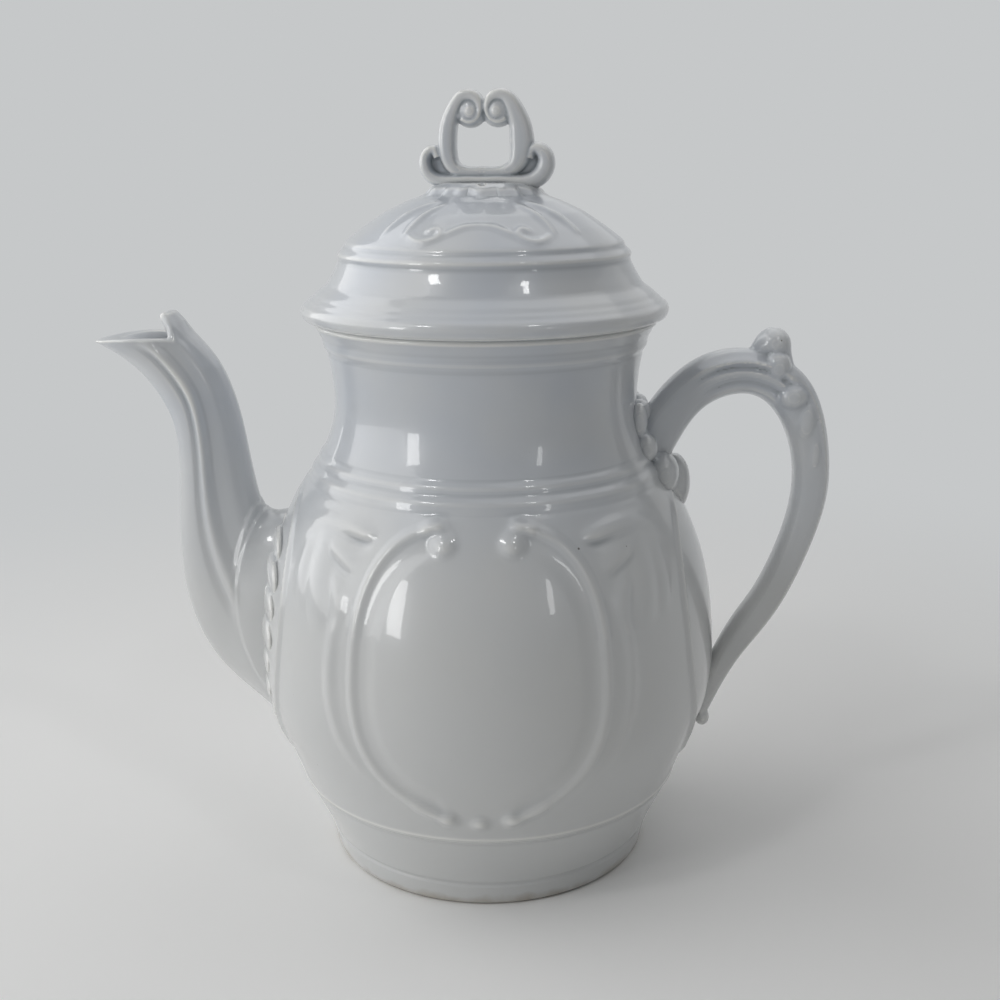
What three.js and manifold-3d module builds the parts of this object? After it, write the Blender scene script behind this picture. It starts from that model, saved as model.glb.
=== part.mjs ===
import * as THREE from 'three';
import * as BufferGeometryUtils from 'three/addons/utils/BufferGeometryUtils.js';
import Module from 'manifold-3d';

// A white ironstone teapot of the nineteenth-century moulded kind, in millimetres, +Z up.
// The spout points to -X, the handle to +X, and the relief medallions face -Y and +Y.
// Angles round the pot are measured from the front (-Y) towards the handle (+X).

const wasm = await Module();
wasm.setup();

// Heights of the pot above the table
const footLineHeight = 7.8;       // shadow line above the turned foot
const footCurveHeight = 17;       // middle of the hollow between foot and joint
const jointHeight = 27.4;         // fine bead where the base is luted to the wall
const lowerBellyHeight = 39.2;
const bellyHeight = 63;           // widest place of the wall
const upperBellyHeight = 86;
const shoulderHeight = 112.2;     // where the belly turns in to the neck
const neckFootHeight = 133;       // upper end of the steep shoulder
const neckHeight = 147;           // narrowest place
const neckLineHeight = 164.2;     // fine raised line under the mouth
const rimHeight = 172.8;          // top of the mouth, where the lid rests

// Radii of the pot: the belly's own, and the others as shares of it
const bellyRadius = 71.8;
const footRadius = bellyRadius * 0.713;
const footLineRadius = bellyRadius * 0.7395;
const jointRadius = bellyRadius * 0.858;
const lowerBellyRadius = bellyRadius * 0.9192;
const upperBellyRadius = bellyRadius * 0.9777;
const shoulderRadius = bellyRadius * 0.869;
const neckFootRadius = bellyRadius * 0.709;
const neckRadius = bellyRadius * 0.6546;
const neckLineRadius = neckRadius * 1.0426;
const rimRadius = neckRadius * 1.1234;

// Walls and seats
const wallThickness = 4.4;
const floorThickness = 6.4;
const footRingWidth = 5;
const footRecess = 3.2;           // the underside stands this far off the table
const footBevel = 2;              // slope from the foot ring's inner edge to the recess
const floorBowl = 14;             // the flat of the floor ends this far inside the foot's radius
const floorCurveRise = 5;         // and its rounded corner this far above the floor
const floorCurveInset = 2;
const seatGap = 0.3;              // slip-thin joint between two luted pieces
const lidClearance = 1.2;         // between the lid's flange and the neck

// Ring mouldings of the pot
const ringHeights = [127.5, 131.4];
const ringHeight = 1;             // how far a ring stands proud
const ringHalfWidth = 1.5;
const neckJointHeight = ringHeights[0] - ringHalfWidth;       // the neck is luted on under its rings
const lineRelief = 0.6;           // fine lines at the neck and at the joint
const lineHalfWidth = 1.1;
const coverStart = 8;             // pieces luted over the rings begin to lift this far from them
const coverFull = 3;              // and pass in front of them from here

// Side panels, pointed ovals under the spout and the handle
const panelCentreHeight = 87;
const panelTopHeight = 123;
const panelHalfAngle = THREE.MathUtils.degToRad(29.5);
const panelBulge = 1.4;
const panelSpread = 1.2;          // the bulge fades out this many panel widths from the middle
const panelRidgeWidth = 2.2;
const panelRidgeHeight = 0.9;
const panelRidgeTop = 2.5;        // the ridges end this far from the panel's top
const panelRidgeFoot = 5;         // and from the joint

// Oval medallions on the front and the back
const medallionCentreHeight = 79;
const medallionHalfHeight = 43.5;
const medallionHalfAngle = THREE.MathUtils.degToRad(30.7);
const medallionSquareness = { over: 3.2, under: 2.25 };       // superellipse exponents of the frame
const medallionDome = 1.6;        // the plain field swells by this much
const medallionGapAngle = THREE.MathUtils.degToRad(7.5);
const scrollWidth = 3.4;
const scrollHeight = 1.7;
const voluteRadius = 3.6;
const voluteDrop = 4.6;           // from the frame's top to a volute's centre
const outerScrollSpread = THREE.MathUtils.degToRad(6.5);
const outerScrollTop = 101;
const outerScrollBottom = 46;

// Corner leaves beside the medallions' shoulders, each with a curled tip
const leafAngle = THREE.MathUtils.degToRad(45);
const leafHeight = 103.5;
const leafHalfWidth = 12.5;
const leafHalfHeight = 11.5;
const leafRelief = 1.6;
const leafEdgeLift = 0.2;
const leafLobes = 7;
const leafLobeDepth = 0.16;       // as a share of the leaf's half-width
const leafCurl = { angle: THREE.MathUtils.degToRad(35), height: 114.5, radius: 4 };

// Spout: rails in the pot's middle plane as [distance outside the belly, height], root to lip
const spoutUnder = [
  [-4, 36], [6.5, 47.5], [17, 59.5], [24.9, 76.2], [27.6, 97.6],
  [26.4, 118.5], [26.2, 135.5], [29.2, 146.2], [37, 157.3], [50, 165.7],
];
const spoutOver = [
  [-8, 111], [-1, 110.6], [1.6, 117.5], [3.2, 127.8], [4.8, 139],
  [6.9, 148.5], [10.2, 157.2], [14.2, 163.4], [18.8, 168.6], [24.4, 174.7],
];
const spoutHalfWidths = [18, 15.6, 13, 11.6, 10.9, 10.6, 10.7, 11.1, 11.8, 12.4];
const spoutWall = 2.9;
const lipStart = 0.82;            // share of the way up where the spout begins to open into its lip
const lipRise = 1.3;              // the sides of the lip lie this much over its tip
const spurAngles = [122, 158].map(THREE.MathUtils.degToRad);  // the level lip rises to its spur here
const spoutRib = 1.1;
const spoutRibAngle = THREE.MathUtils.degToRad(104);      // turn up from the underside
const spoutGrooveAngle = THREE.MathUtils.degToRad(84);
const spoutRibSpread = THREE.MathUtils.degToRad(15);
const strainerHoleRadius = 2.4;
const strainerRings = [[0, 1], [9, 6]];   // [distance from the middle, number of holes]
const strainerHeight = 76;

// Handle: outer and inner rails in the middle plane as [distance outside the belly, height]
const handleOuter = [
  [-26, 136.5], [-19, 148], [-8, 158.6], [6, 162.9], [20.5, 159.6],
  [31.5, 147.6], [36.4, 125], [33, 104.4], [22.6, 79.3], [9.5, 60], [-0.5, 39],
];
const handleInner = [
  [-16, 125], [-10.2, 136.5], [-3, 145.4], [7, 149], [15.4, 146.2],
  [22, 136.6], [25, 122.5], [22.8, 105.5], [15.2, 86], [6.3, 71.5], [-5, 47.5],
];
const handleHalfWidths = [8.4, 8, 7.6, 7.3, 7.2, 6.6, 6.3, 6.1, 5.8, 5.4, 4.2];
const handleSquareness = 2.7;     // superellipse exponent of the strap's section

// Leaf on top of the handle, where the thumb rests, and the knuckle below it
const thumbLeaf = [[9, 160.5], [14.6, 164.6], [18.6, 165.4], [21, 160.5], [24, 154.5]];
const thumbLeafRadii = [3, 4, 4, 3.2, 2.2];
const thumbHeart = { place: [17.2, 160.6], radius: 4.2, spread: 1.1 };     // fills the leaf's fold
const knuckle = { place: [23.6, 148.6], radius: 4.4, spread: 2.1 };        // spread: half-width in radii

// Lobed leaf over the handle's upper joint
const leafTopHeight = 147;
const leafFootHeight = 112.5;
const leafHalfSpread = 13;
const leafThickness = 6;
const upperLeafLobes = 3;
const lobeDepth = 2.2;

// Lid, from its seat to the beads, as [distance outside the rim's radius, height above the rim]
const lidSkirt = [
  [0.4, 0], [1, 0.8],                                           // seat and undercut
  [2.6, 0.6], [3.6, 3.1], [2.9, 4.8],                           // overhanging lip
  [1.3, 5.7], [0.8, 6.5], [-0.6, 7.3], [-1.1, 8.1],             // two fine steps
  [-4.6, 10.6], [-7.1, 14.8], [-8.8, 18.2],                     // hollow below the beads
  [-8, 19.6], [-9.2, 20.9], [-10.3, 21.8], [-10.4, 23], [-11.8, 24.2],
];
// Dome as [share of the skirt's top radius, height above the rim]; hollow as [radius, height]
const lidDomeOutline = [[0.885, 27.7], [0.732, 31.9], [0.556, 35.2]];
const lidHollow = [[18, 31.2], [30, 25]];
const lidHollowTop = 35;
const lidHollowHaunch = { inset: 2.6, rise: 16 };
const lidHollowFoot = 6;
const lidRise = 40.4;             // top of the mound above the rim
const flangeDepth = 11;
const flangeThickness = 3;
const flangeBevel = 1;
const ventRadius = 1.3;
const ventOffset = 13;

// Leafy mound under the finial
const moundRadius = 17;
const moundOutline = [[0.6, 36.9], [-1.2, 39]];               // [outside the mound's radius, rise]
const moundTopInset = 4.4;
const moundEdge = 2.4;            // the scallops fade out this far from the mound's edge
const moundRelief = 0.9;
const moundScallops = 12;

// Finial: an open pair of scrolls on a bar, with a volute at each end of the bar
// Places are [distance from the middle, height above the mound]
const finialBar = { halfLength: 9.4, height: 4.3, depth: 8.1 };
const finialHalfDepth = 4.5;
const armPath = [[7, 2.2], [10.8, 6.7], [11.1, 11.8], [10.4, 16.9], [8.4, 22.2]];
const armRadii = [2.4, 2.6, 2.8, 2.6, 2.2, 1.8, 1.6, 1.4];
const armDepths = [1, 1, 1, 1, 0.9];        // shares of the finial's half-depth
const rollCentre = [4.4, 21.1];
const rollRadii = [4.2, 3];       // the rolled end winds inwards from the first to the second
const rollTurns = [70, 320];      // degrees
// Balls that fill the rolls and the volutes; depth is a share of the finial's half-depth
const finialBalls = [
  { place: rollCentre, radius: 3.6, depth: 1 },
  { place: [15, 4.9], radius: 3.4, depth: 0.45 },
];
const volutePath = [
  [5, 2.3], [11, 2], [15, 1.8], [18, 2.5], [19.2, 5.4], [18, 8.3], [15.4, 8.8], [14.4, 6.6],
];
const voluteRadii = [1.9, 1.8, 1.9, 2, 2, 1.7, 1.3];
const voluteDepths = [0.8, 0.8, 0.85, 0.8, 0.6];

// Facets of round surfaces
const segments = 44;
const insideSegments = 28;
const lowerRow = 35;              // first plain row of the wall, and the spacing of the rows above it
const rowPitch = 10;
const neckRowPitch = 5;
const insideRowPitch = 15;
const mouthRow = 2;               // last row of the wall under the mouth
const overcut = 3;                // a cutting solid runs past the surface it opens
const ironstone = new THREE.Color('#d3d7da');

const glaze = (roughness) => new THREE.MeshStandardMaterial({ color: ironstone, roughness, metalness: 0 });

// Smooth curve through [place, value] stations
function through(stations) {
  const places = Float32Array.from(stations, (s) => s[0]);
  const values = Float32Array.from(stations, (s) => s[1]);
  const curve = new THREE.CubicInterpolant(places, values, 1);
  return (place) => curve.evaluate(THREE.MathUtils.clamp(place, places[0], places[places.length - 1]))[0];
}

const bump = (distance, halfWidth) => (
  Math.abs(distance) < halfWidth ? Math.cos((distance / halfWidth) * Math.PI / 2) ** 2 : 0
);

// The turned wall, without its panels and relief
const turnedWall = through([
  [0, footRadius],
  [footLineHeight, footLineRadius],
  [jointHeight, jointRadius],
  [lowerBellyHeight, lowerBellyRadius],
  [bellyHeight, bellyRadius],
  [upperBellyHeight, upperBellyRadius],
  [shoulderHeight, shoulderRadius],
  [neckFootHeight, neckFootRadius],
  [neckHeight, neckRadius],
  [neckLineHeight, neckLineRadius],
  [rimHeight, rimRadius],
]);

function ringRelief(z) {
  let relief = lineRelief * bump(z - neckLineHeight, lineHalfWidth);
  relief += lineRelief * bump(z - jointHeight, lineHalfWidth);
  for (const height of ringHeights) relief += ringHeight * bump(z - height, ringHalfWidth);
  return relief;
}

// Fullness of the pointed-oval side panel at a height: 1 in its middle, 0 at its two tips
function panelShare(z) {
  const reach = z > panelCentreHeight ? panelTopHeight - panelCentreHeight : panelCentreHeight - jointHeight;
  const share = (z - panelCentreHeight) / reach;
  return Math.sqrt(Math.max(0, 1 - share * share));
}

const panelEdge = (z) => panelHalfAngle * panelShare(z);

// Half-angle of the medallion's frame at a height
function medallionEdge(z) {
  const rise = (z - medallionCentreHeight) / medallionHalfHeight;
  const power = rise > 0 ? medallionSquareness.over : medallionSquareness.under;
  return medallionHalfAngle * Math.max(0, 1 - Math.abs(rise) ** power) ** (1 / power);
}

const fromFront = (angle) => Math.abs(Math.asin(Math.sin(angle)));
const fromSide = (angle) => Math.PI / 2 - fromFront(angle);

// Outer radius of the finished wall at an angle and a height
function wallRadius(angle, z) {
  let radius = turnedWall(z) + ringRelief(z);
  const panel = panelEdge(z);
  if (panel > 0) radius += panelBulge * panelShare(z) * bump(fromSide(angle), panel * panelSpread);
  const frame = medallionEdge(z);
  if (frame > 0) radius += medallionDome * bump(fromFront(angle), frame);
  return radius;
}

const around = (angle, radius, z) => (
  new THREE.Vector3(radius * Math.sin(angle), -radius * Math.cos(angle), z)
);

const onWall = (angle, z, lift) => around(angle, wallRadius(angle, z) + lift, z);

// Outward direction of the turned wall
function wallNormal(angle, z) {
  const step = 0.5;
  const slope = (turnedWall(z + step) - turnedWall(z - step)) / (2 * step);
  return around(angle, 1, -slope).normalize();
}

// Pieces luted over the two rings pass in front of them at one level
function ringCover(z) {
  const below = THREE.MathUtils.smoothstep(z, ringHeights[0] - coverStart, ringHeights[0] - coverFull);
  const above = THREE.MathUtils.smoothstep(z, ringHeights[1] + coverFull, ringHeights[1] + coverStart);
  return ringHeight * (below - above);
}

// The place on the wall, seatGap off it, that has the given x side, y and z
function seatOnWall(side, y, z) {
  let x = side * turnedWall(z);
  for (let i = 0; i < 6; i += 1) {
    const angle = Math.atan2(x, -y);
    const radius = wallRadius(angle, z) - ringRelief(z) + ringCover(z) + seatGap;
    x = side * Math.sqrt(Math.max(1, radius * radius - y * y));
  }
  return new THREE.Vector3(x, y, z);
}

// Geometry helpers: every piece becomes one closed skin with shared vertices
function closed(geometry) {
  geometry.deleteAttribute('normal');
  geometry.deleteAttribute('uv');
  const merged = BufferGeometryUtils.mergeVertices(geometry, 1e-4);
  const place = merged.getAttribute('position');
  const index = Array.from(merged.index.array);
  const faces = [];
  let volume = 0;
  const corner = (i) => new THREE.Vector3().fromBufferAttribute(place, i);
  for (let i = 0; i < index.length; i += 3) {
    const [a, b, c] = index.slice(i, i + 3);
    if (a === b || b === c || a === c) continue;
    volume += corner(a).dot(corner(b).cross(corner(c)));
    faces.push(a, b, c);
  }
  merged.setIndex(volume > 0 ? faces : faces.reverse());
  return merged;
}

// A skin over rings of points; the ends are capped, or joined when the rings run in a loop
function skin(rings, loop) {
  const count = rings[0].length;
  const points = rings.flat();
  const faces = [];
  const last = loop ? rings.length : rings.length - 1;
  for (let i = 0; i < last; i += 1) {
    const here = i * count;
    const next = ((i + 1) % rings.length) * count;
    for (let j = 0; j < count; j += 1) {
      const k = (j + 1) % count;
      faces.push(here + j, here + k, next + k, here + j, next + k, next + j);
    }
  }
  if (!loop) {
    for (const [ring, turned] of [[0, true], [rings.length - 1, false]]) {
      const middle = new THREE.Vector3();
      for (const point of rings[ring]) middle.addScaledVector(point, 1 / count);
      points.push(middle);
      for (let j = 0; j < count; j += 1) {
        const a = ring * count + j;
        const b = ring * count + ((j + 1) % count);
        faces.push(...(turned ? [points.length - 1, b, a] : [points.length - 1, a, b]));
      }
    }
  }
  const geometry = new THREE.BufferGeometry().setFromPoints(points);
  geometry.setIndex(faces);
  return closed(geometry);
}

// Unit outline of a bar, as [across, up] points; squareness 2 is round and more is squarer
function outline(sides, squareness = 2) {
  const power = 2 / squareness;
  const bent = (value) => Math.sign(value) * Math.abs(value) ** power;
  return Array.from({ length: sides }, (_, j) => {
    const turn = ((j + 0.5) / sides) * Math.PI * 2;
    return [bent(Math.cos(turn)), bent(Math.sin(turn))];
  });
}

// A bar along a path: its half-sizes across and upwards change along it
function sweep({ path, up, across, raise, steps, section }) {
  const rings = [];
  for (let i = 0; i <= steps; i += 1) {
    const t = i / steps;
    const centre = path(t);
    const tangent = path(Math.min(1, t + 0.01)).sub(path(Math.max(0, t - 0.01))).normalize();
    const lift = up(t).clone();
    lift.addScaledVector(tangent, -lift.dot(tangent)).normalize();
    const side = new THREE.Vector3().crossVectors(tangent, lift);
    rings.push(section.map(([c, s]) => (
      centre.clone().addScaledVector(side, across(t) * c).addScaledVector(lift, raise(t) * s)
    )));
  }
  return skin(rings, false);
}

// A solid turned about the pot's axis from [radius, height] points, and pushed outwards by relief
function turned(profile, count, relief = () => 0) {
  const geometry = new THREE.LatheGeometry(profile.map(([r, z]) => new THREE.Vector2(r, z)), count);
  geometry.rotateX(Math.PI / 2);
  const place = geometry.getAttribute('position');
  for (let i = 0; i < place.count; i += 1) {
    const x = place.getX(i);
    const y = place.getY(i);
    const radius = Math.hypot(x, y);
    if (radius < 1e-6) continue;
    const more = relief(Math.atan2(x, -y), place.getZ(i), radius);
    place.setXY(i, x * (1 + more / radius), y * (1 + more / radius));
  }
  return closed(geometry);
}

function solid(geometry) {
  return new wasm.Manifold(new wasm.Mesh({
    numProp: 3,
    vertProperties: Float32Array.from(geometry.getAttribute('position').array),
    triVerts: Uint32Array.from(geometry.index.array),
  }));
}

function geometryOf(body) {
  const mesh = body.getMesh();
  const geometry = new THREE.BufferGeometry();
  geometry.setAttribute('position', new THREE.BufferAttribute(Float32Array.from(mesh.vertProperties), 3));
  geometry.setIndex(new THREE.BufferAttribute(Uint32Array.from(mesh.triVerts), 1));
  return geometry;
}

const joined = (geometries) => geometries.map(solid).reduce((a, b) => a.add(b));

function piece(name, geometry, roughness = 0.16) {
  const mesh = new THREE.Mesh(geometry, glaze(roughness));
  mesh.name = name;
  return mesh;
}

// Heights for the turned wall's rows, closer together where rings and lines stand on it
function wallRows() {
  const rows = [jointHeight, jointHeight + lineHalfWidth];
  for (let z = lowerRow; z < ringHeights[0] - 4; z += rowPitch) rows.push(z);
  for (const height of ringHeights) rows.push(height - ringHalfWidth, height, height + ringHalfWidth);
  const neckTop = neckHeight + 2 * neckRowPitch;
  for (let z = neckFootHeight + neckRowPitch; z < neckTop; z += neckRowPitch) rows.push(z);
  rows.push(neckLineHeight - lineHalfWidth, neckLineHeight, neckLineHeight + lineHalfWidth);
  rows.push(rimHeight - mouthRow, rimHeight);
  return rows.sort((a, b) => a - b);
}

const insideRadius = (z) => turnedWall(z) - wallThickness;

// Inside of the pot from the joint to the mouth
function cavity() {
  const profile = [[0, jointHeight - overcut], [insideRadius(jointHeight), jointHeight - overcut]];
  for (let z = jointHeight; z < rimHeight; z += insideRowPitch) profile.push([insideRadius(z), z]);
  profile.push([insideRadius(rimHeight), rimHeight], [insideRadius(rimHeight), rimHeight + overcut]);
  profile.push([0, rimHeight + overcut]);
  return turned(profile, insideSegments);
}

// Ridge on the wall along [angle, height] of t
const ridgeSection = [[1, -0.8], [0.5, 0.95], [-0.5, 0.95], [-1, -0.8]];

function wallRidge(route, width, height, steps) {
  const taper = (t) => 0.35 + 0.65 * Math.sin(Math.PI * THREE.MathUtils.clamp(t, 0.04, 0.96)) ** 0.5;
  return sweep({
    path: (t) => onWall(route(t)[0], route(t)[1], 0),
    up: (t) => wallNormal(route(t)[0], route(t)[1]),
    across: (t) => (width / 2) * taper(t),
    raise: (t) => height * taper(t),
    steps,
    section: ridgeSection,
  });
}

// Frame scrolls of one medallion, right half; side is 1 or -1
function medallionScrolls(facing, side) {
  const parts = [];
  const start = Math.asin(medallionGapAngle / medallionHalfAngle);
  const oval = (t) => {
    const turn = THREE.MathUtils.lerp(start, Math.PI - start, t);
    const z = medallionCentreHeight + medallionHalfHeight * Math.cos(turn);
    const angle = Math.max(medallionEdge(z), medallionGapAngle * 0.8);
    return [facing + side * angle, z];
  };
  parts.push(wallRidge(oval, scrollWidth, scrollHeight, 12));
  const outer = (t) => {
    const z = THREE.MathUtils.lerp(outerScrollTop, outerScrollBottom, t);
    const spread = outerScrollSpread * Math.sin(Math.PI * (0.12 + 0.76 * t)) ** 0.6;
    return [facing + side * (medallionEdge(z) + spread), z];
  };
  parts.push(wallRidge(outer, scrollWidth * 0.9, scrollHeight * 0.8, 7));
  const voluteHeight = medallionCentreHeight + medallionHalfHeight - voluteDrop;
  const centre = onWall(facing + side * medallionGapAngle * 1.1, voluteHeight, 0);
  const volute = new THREE.SphereGeometry(voluteRadius, 6, 5);
  volute.scale(1, 0.55, 1);
  volute.rotateZ(facing);
  volute.translate(centre.x, centre.y, centre.z);
  parts.push(closed(volute));
  return parts;
}

// One corner leaf: a low pad with a lobed edge draped on the wall, and its curled tip
function cornerLeaf(facing, side) {
  const count = 21;
  const ring = (share, lift) => Array.from({ length: count }, (_, j) => {
    const turn = (j / count) * Math.PI * 2;
    const reach = share * (1 - leafLobeDepth * Math.sin((turn * leafLobes) / 2) ** 2);
    const z = leafHeight + leafHalfHeight * reach * Math.sin(turn);
    const angle = leafAngle + (leafHalfWidth * reach * Math.cos(turn)) / turnedWall(z);
    return onWall(facing + side * angle, z, lift);
  });
  const pad = skin([ring(0.9, -wallThickness / 2), ring(1, leafEdgeLift), ring(0.72, leafRelief)], false);
  const centre = onWall(facing + side * leafCurl.angle, leafCurl.height, 0);
  const curl = new THREE.SphereGeometry(leafCurl.radius, 7, 5);
  curl.scale(1, 0.6, 1);
  curl.rotateZ(facing + side * leafCurl.angle);
  curl.translate(centre.x, centre.y, centre.z);
  return [pad, closed(curl)];
}

// The moulded wall, cut at the neck's joint into the body and the neck
function potWall() {
  const rows = wallRows();
  const profile = [[0, jointHeight]];
  for (const z of rows) profile.push([turnedWall(z), z]);
  profile.push([0, rimHeight]);
  const outside = turned(profile, segments, (angle, z, radius) => (
    radius > neckRadius * 0.9 ? wallRadius(angle, z) - turnedWall(z) : 0
  ));
  const relief = [];
  for (const facing of [0, Math.PI]) {
    for (const side of [1, -1]) {
      relief.push(...medallionScrolls(facing, side), ...cornerLeaf(facing, side));
      const edge = (t) => {
        const z = THREE.MathUtils.lerp(panelTopHeight - panelRidgeTop, jointHeight + panelRidgeFoot, t);
        return [facing + side * (Math.PI / 2 - panelEdge(z)), z];
      };
      relief.push(wallRidge(edge, panelRidgeWidth, panelRidgeHeight, 8));
    }
  }
  let wall = solid(outside).add(joined(relief)).subtract(solid(cavity()));
  for (const [distance, count] of strainerRings) {
    for (let i = 0; i < count; i += 1) {
      const turn = (i / count) * Math.PI * 2;
      const hole = new THREE.CylinderGeometry(strainerHoleRadius, strainerHoleRadius, wallThickness * 5, 8);
      hole.rotateZ(Math.PI / 2);
      hole.translate(-bellyRadius, distance * Math.sin(turn), strainerHeight + distance * Math.cos(turn));
      wall = wall.subtract(solid(closed(hole)));
    }
  }
  const [neck, body] = wall.splitByPlane([0, 0, 1], neckJointHeight);
  return { neck: geometryOf(neck), body: geometryOf(body) };
}

// Base with its foot ring and the floor, luted to the wall at the joint
function footBase() {
  const ringInner = footRadius - footRingWidth;
  const floorHeight = footRecess + floorThickness;
  const cornerHeight = floorHeight + floorCurveRise;
  const profile = [[0, footRecess], [ringInner - footBevel, footRecess], [ringInner, 0], [footRadius, 0]];
  profile.push([turnedWall(footLineHeight - lineHalfWidth), footLineHeight - lineHalfWidth]);
  profile.push([turnedWall(footLineHeight) - lineRelief, footLineHeight]);
  profile.push([turnedWall(footLineHeight + lineHalfWidth), footLineHeight + lineHalfWidth]);
  profile.push([turnedWall(footCurveHeight), footCurveHeight]);
  profile.push([turnedWall(jointHeight - lineHalfWidth), jointHeight - lineHalfWidth]);
  profile.push([turnedWall(jointHeight) + lineRelief, jointHeight]);
  profile.push([insideRadius(jointHeight), jointHeight]);
  profile.push([insideRadius(cornerHeight) - floorCurveInset, cornerHeight]);
  profile.push([footRadius - floorBowl, floorHeight], [0, floorHeight]);
  return turned(profile, segments);
}

// Rail in the pot's middle plane through [distance outside the belly, height] stations
function rail(stations, side) {
  const points = stations.map(([out, z]) => new THREE.Vector3(side * (bellyRadius + out), 0, z));
  return new THREE.CatmullRomCurve3(points, false, 'centripetal');
}

// Stations as a smooth function of 0 to 1
const graded = (values) => through(values.map((value, i) => [i / (values.length - 1), value]));

// Ring of points between the spout's two rails, inset by its wall; 0 turn is the underside
function spoutRing(t, inset, count, width, under, over) {
  const low = under.getPoint(t);
  const high = over.getPoint(t);
  const across = high.clone().sub(low).normalize();
  const slant = (edge) => Math.max(0.4, Math.abs(across.clone().cross(edge.getTangent(t)).y));
  const level = low.z;
  low.addScaledVector(across, inset / slant(under));
  high.addScaledVector(across, -inset / slant(over));
  const half = low.distanceTo(high) / 2;
  const middle = low.clone().add(high).multiplyScalar(0.5);
  const lip = THREE.MathUtils.smoothstep(t, lipStart, 1);
  const ribShare = THREE.MathUtils.smoothstep(t, 0.12, 0.3) * (1 - lip);
  const ring = [];
  for (let j = 0; j < count; j += 1) {
    const turn = (j / count) * Math.PI * 2;
    const fromUnder = turn > Math.PI ? 2 * Math.PI - turn : turn;
    const rib = bump(fromUnder - spoutRibAngle, spoutRibSpread)
      - 0.6 * bump(fromUnder - spoutGrooveAngle, spoutRibSpread);
    const reach = width(t) - inset + (inset > 0 ? 0 : spoutRib * rib * ribShare);
    const point = middle.clone().addScaledVector(across, -half * Math.cos(turn));
    point.y = -reach * Math.sin(turn);
    const flat = lip * (1 - THREE.MathUtils.smoothstep(fromUnder, ...spurAngles));
    point.z = THREE.MathUtils.lerp(point.z, level + lipRise * Math.sin(turn) ** 2, flat);
    ring.push(point);
  }
  return ring;
}

function spout() {
  const count = 20;
  const steps = 18;
  const under = rail(spoutUnder, -1);
  const over = rail(spoutOver, -1);
  const width = graded(spoutHalfWidths);
  const rings = (inset, total) => {
    const root = spoutRing(0, inset, count, width, under, over);
    const seats = root.map((point) => seatOnWall(-1, point.y, point.z).x - point.x);
    const list = [];
    for (let i = 0; i <= total; i += 1) {
      const t = i / total;
      const ring = spoutRing(t, inset, count, width, under, over);
      const hold = (1 - THREE.MathUtils.smoothstep(t, 0, 0.3)) ** 1.5;
      ring.forEach((point, j) => { point.x += seats[j] * hold; });
      list.push(ring);
    }
    return list;
  };
  return skin([...rings(0, steps), ...rings(spoutWall, 8).reverse()], true);
}

// Radius of the upper leaf's lobed edge against a plain oval, at a turn up from the horizontal
const leafLobing = (turn) => 1 - (lobeDepth / leafHalfSpread) * Math.sin(turn * upperLeafLobes) ** 2;

// Lobed leaf that pads the handle's upper joint, thicker and wider by extra all round
function upperLeaf(extra) {
  const count = 26;
  const middle = (leafTopHeight + leafFootHeight) / 2;
  const half = (leafTopHeight - leafFootHeight) / 2;
  const ring = (share, lift) => {
    const list = [];
    for (let j = 0; j < count; j += 1) {
      const turn = (j / count) * Math.PI * 2;
      const reach = leafLobing(turn) * share;
      const y = (leafHalfSpread + extra) * reach * Math.cos(turn);
      const z = middle + (half + extra) * reach * Math.sin(turn);
      const point = seatOnWall(1, y, z);
      list.push(point.addScaledVector(wallNormal(Math.atan2(point.x, -y), z), lift));
    }
    return list;
  };
  const back = [0.3, 0.7, 1].map((share) => ring(share, -3 * extra));
  const front = [0.95, 0.82, 0.3].map((share) => ring(share, (leafThickness + extra) * (1 - share ** 5)));
  return skin([...back, ...front], false);
}

// Strap between the handle's two rails
function handle() {
  const outer = rail(handleOuter, 1);
  const inner = rail(handleInner, 1);
  const width = graded(handleHalfWidths);
  const steps = 29;
  const section = outline(12, handleSquareness);
  const rings = [];
  for (let i = 0; i <= steps; i += 1) {
    const t = i / steps;
    const high = outer.getPoint(t);
    const across = high.clone().sub(inner.getPoint(t));
    const half = across.length() / 2;
    const middle = high.clone().addScaledVector(across, -0.5);
    across.normalize();
    const ring = section.map(([c, s]) => {
      const point = middle.clone().addScaledVector(across, half * c);
      point.y = width(t) * s;
      point.x = Math.max(point.x, seatOnWall(1, point.y, point.z).x);
      return point;
    });
    rings.push(ring);
  }
  const parts = [skin(rings, false)];
  const leafCurve = rail(thumbLeaf, 1);
  parts.push(sweep({
    path: (t) => leafCurve.getPoint(t),
    up: () => new THREE.Vector3(0, 1, 0),
    across: graded(thumbLeafRadii),
    raise: graded(thumbLeafRadii),
    steps: 6,
    section: outline(8),
  }));
  for (const { place, radius, spread } of [thumbHeart, knuckle]) {
    const swelling = new THREE.SphereGeometry(radius, 8, 5);
    swelling.scale(1, spread, 1);
    swelling.translate(bellyRadius + place[0], 0, place[1]);
    parts.push(closed(swelling));
  }
  return geometryOf(joined(parts).subtract(solid(upperLeaf(seatGap))));
}

const flangeRadius = insideRadius(rimHeight - flangeDepth) - lidClearance;
const flangeInner = flangeRadius - flangeThickness;
const lidTop = rimHeight + lidRise;
const outside = (radius, outline) => outline.map(([out, rise]) => [radius + out, rise]);

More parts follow.
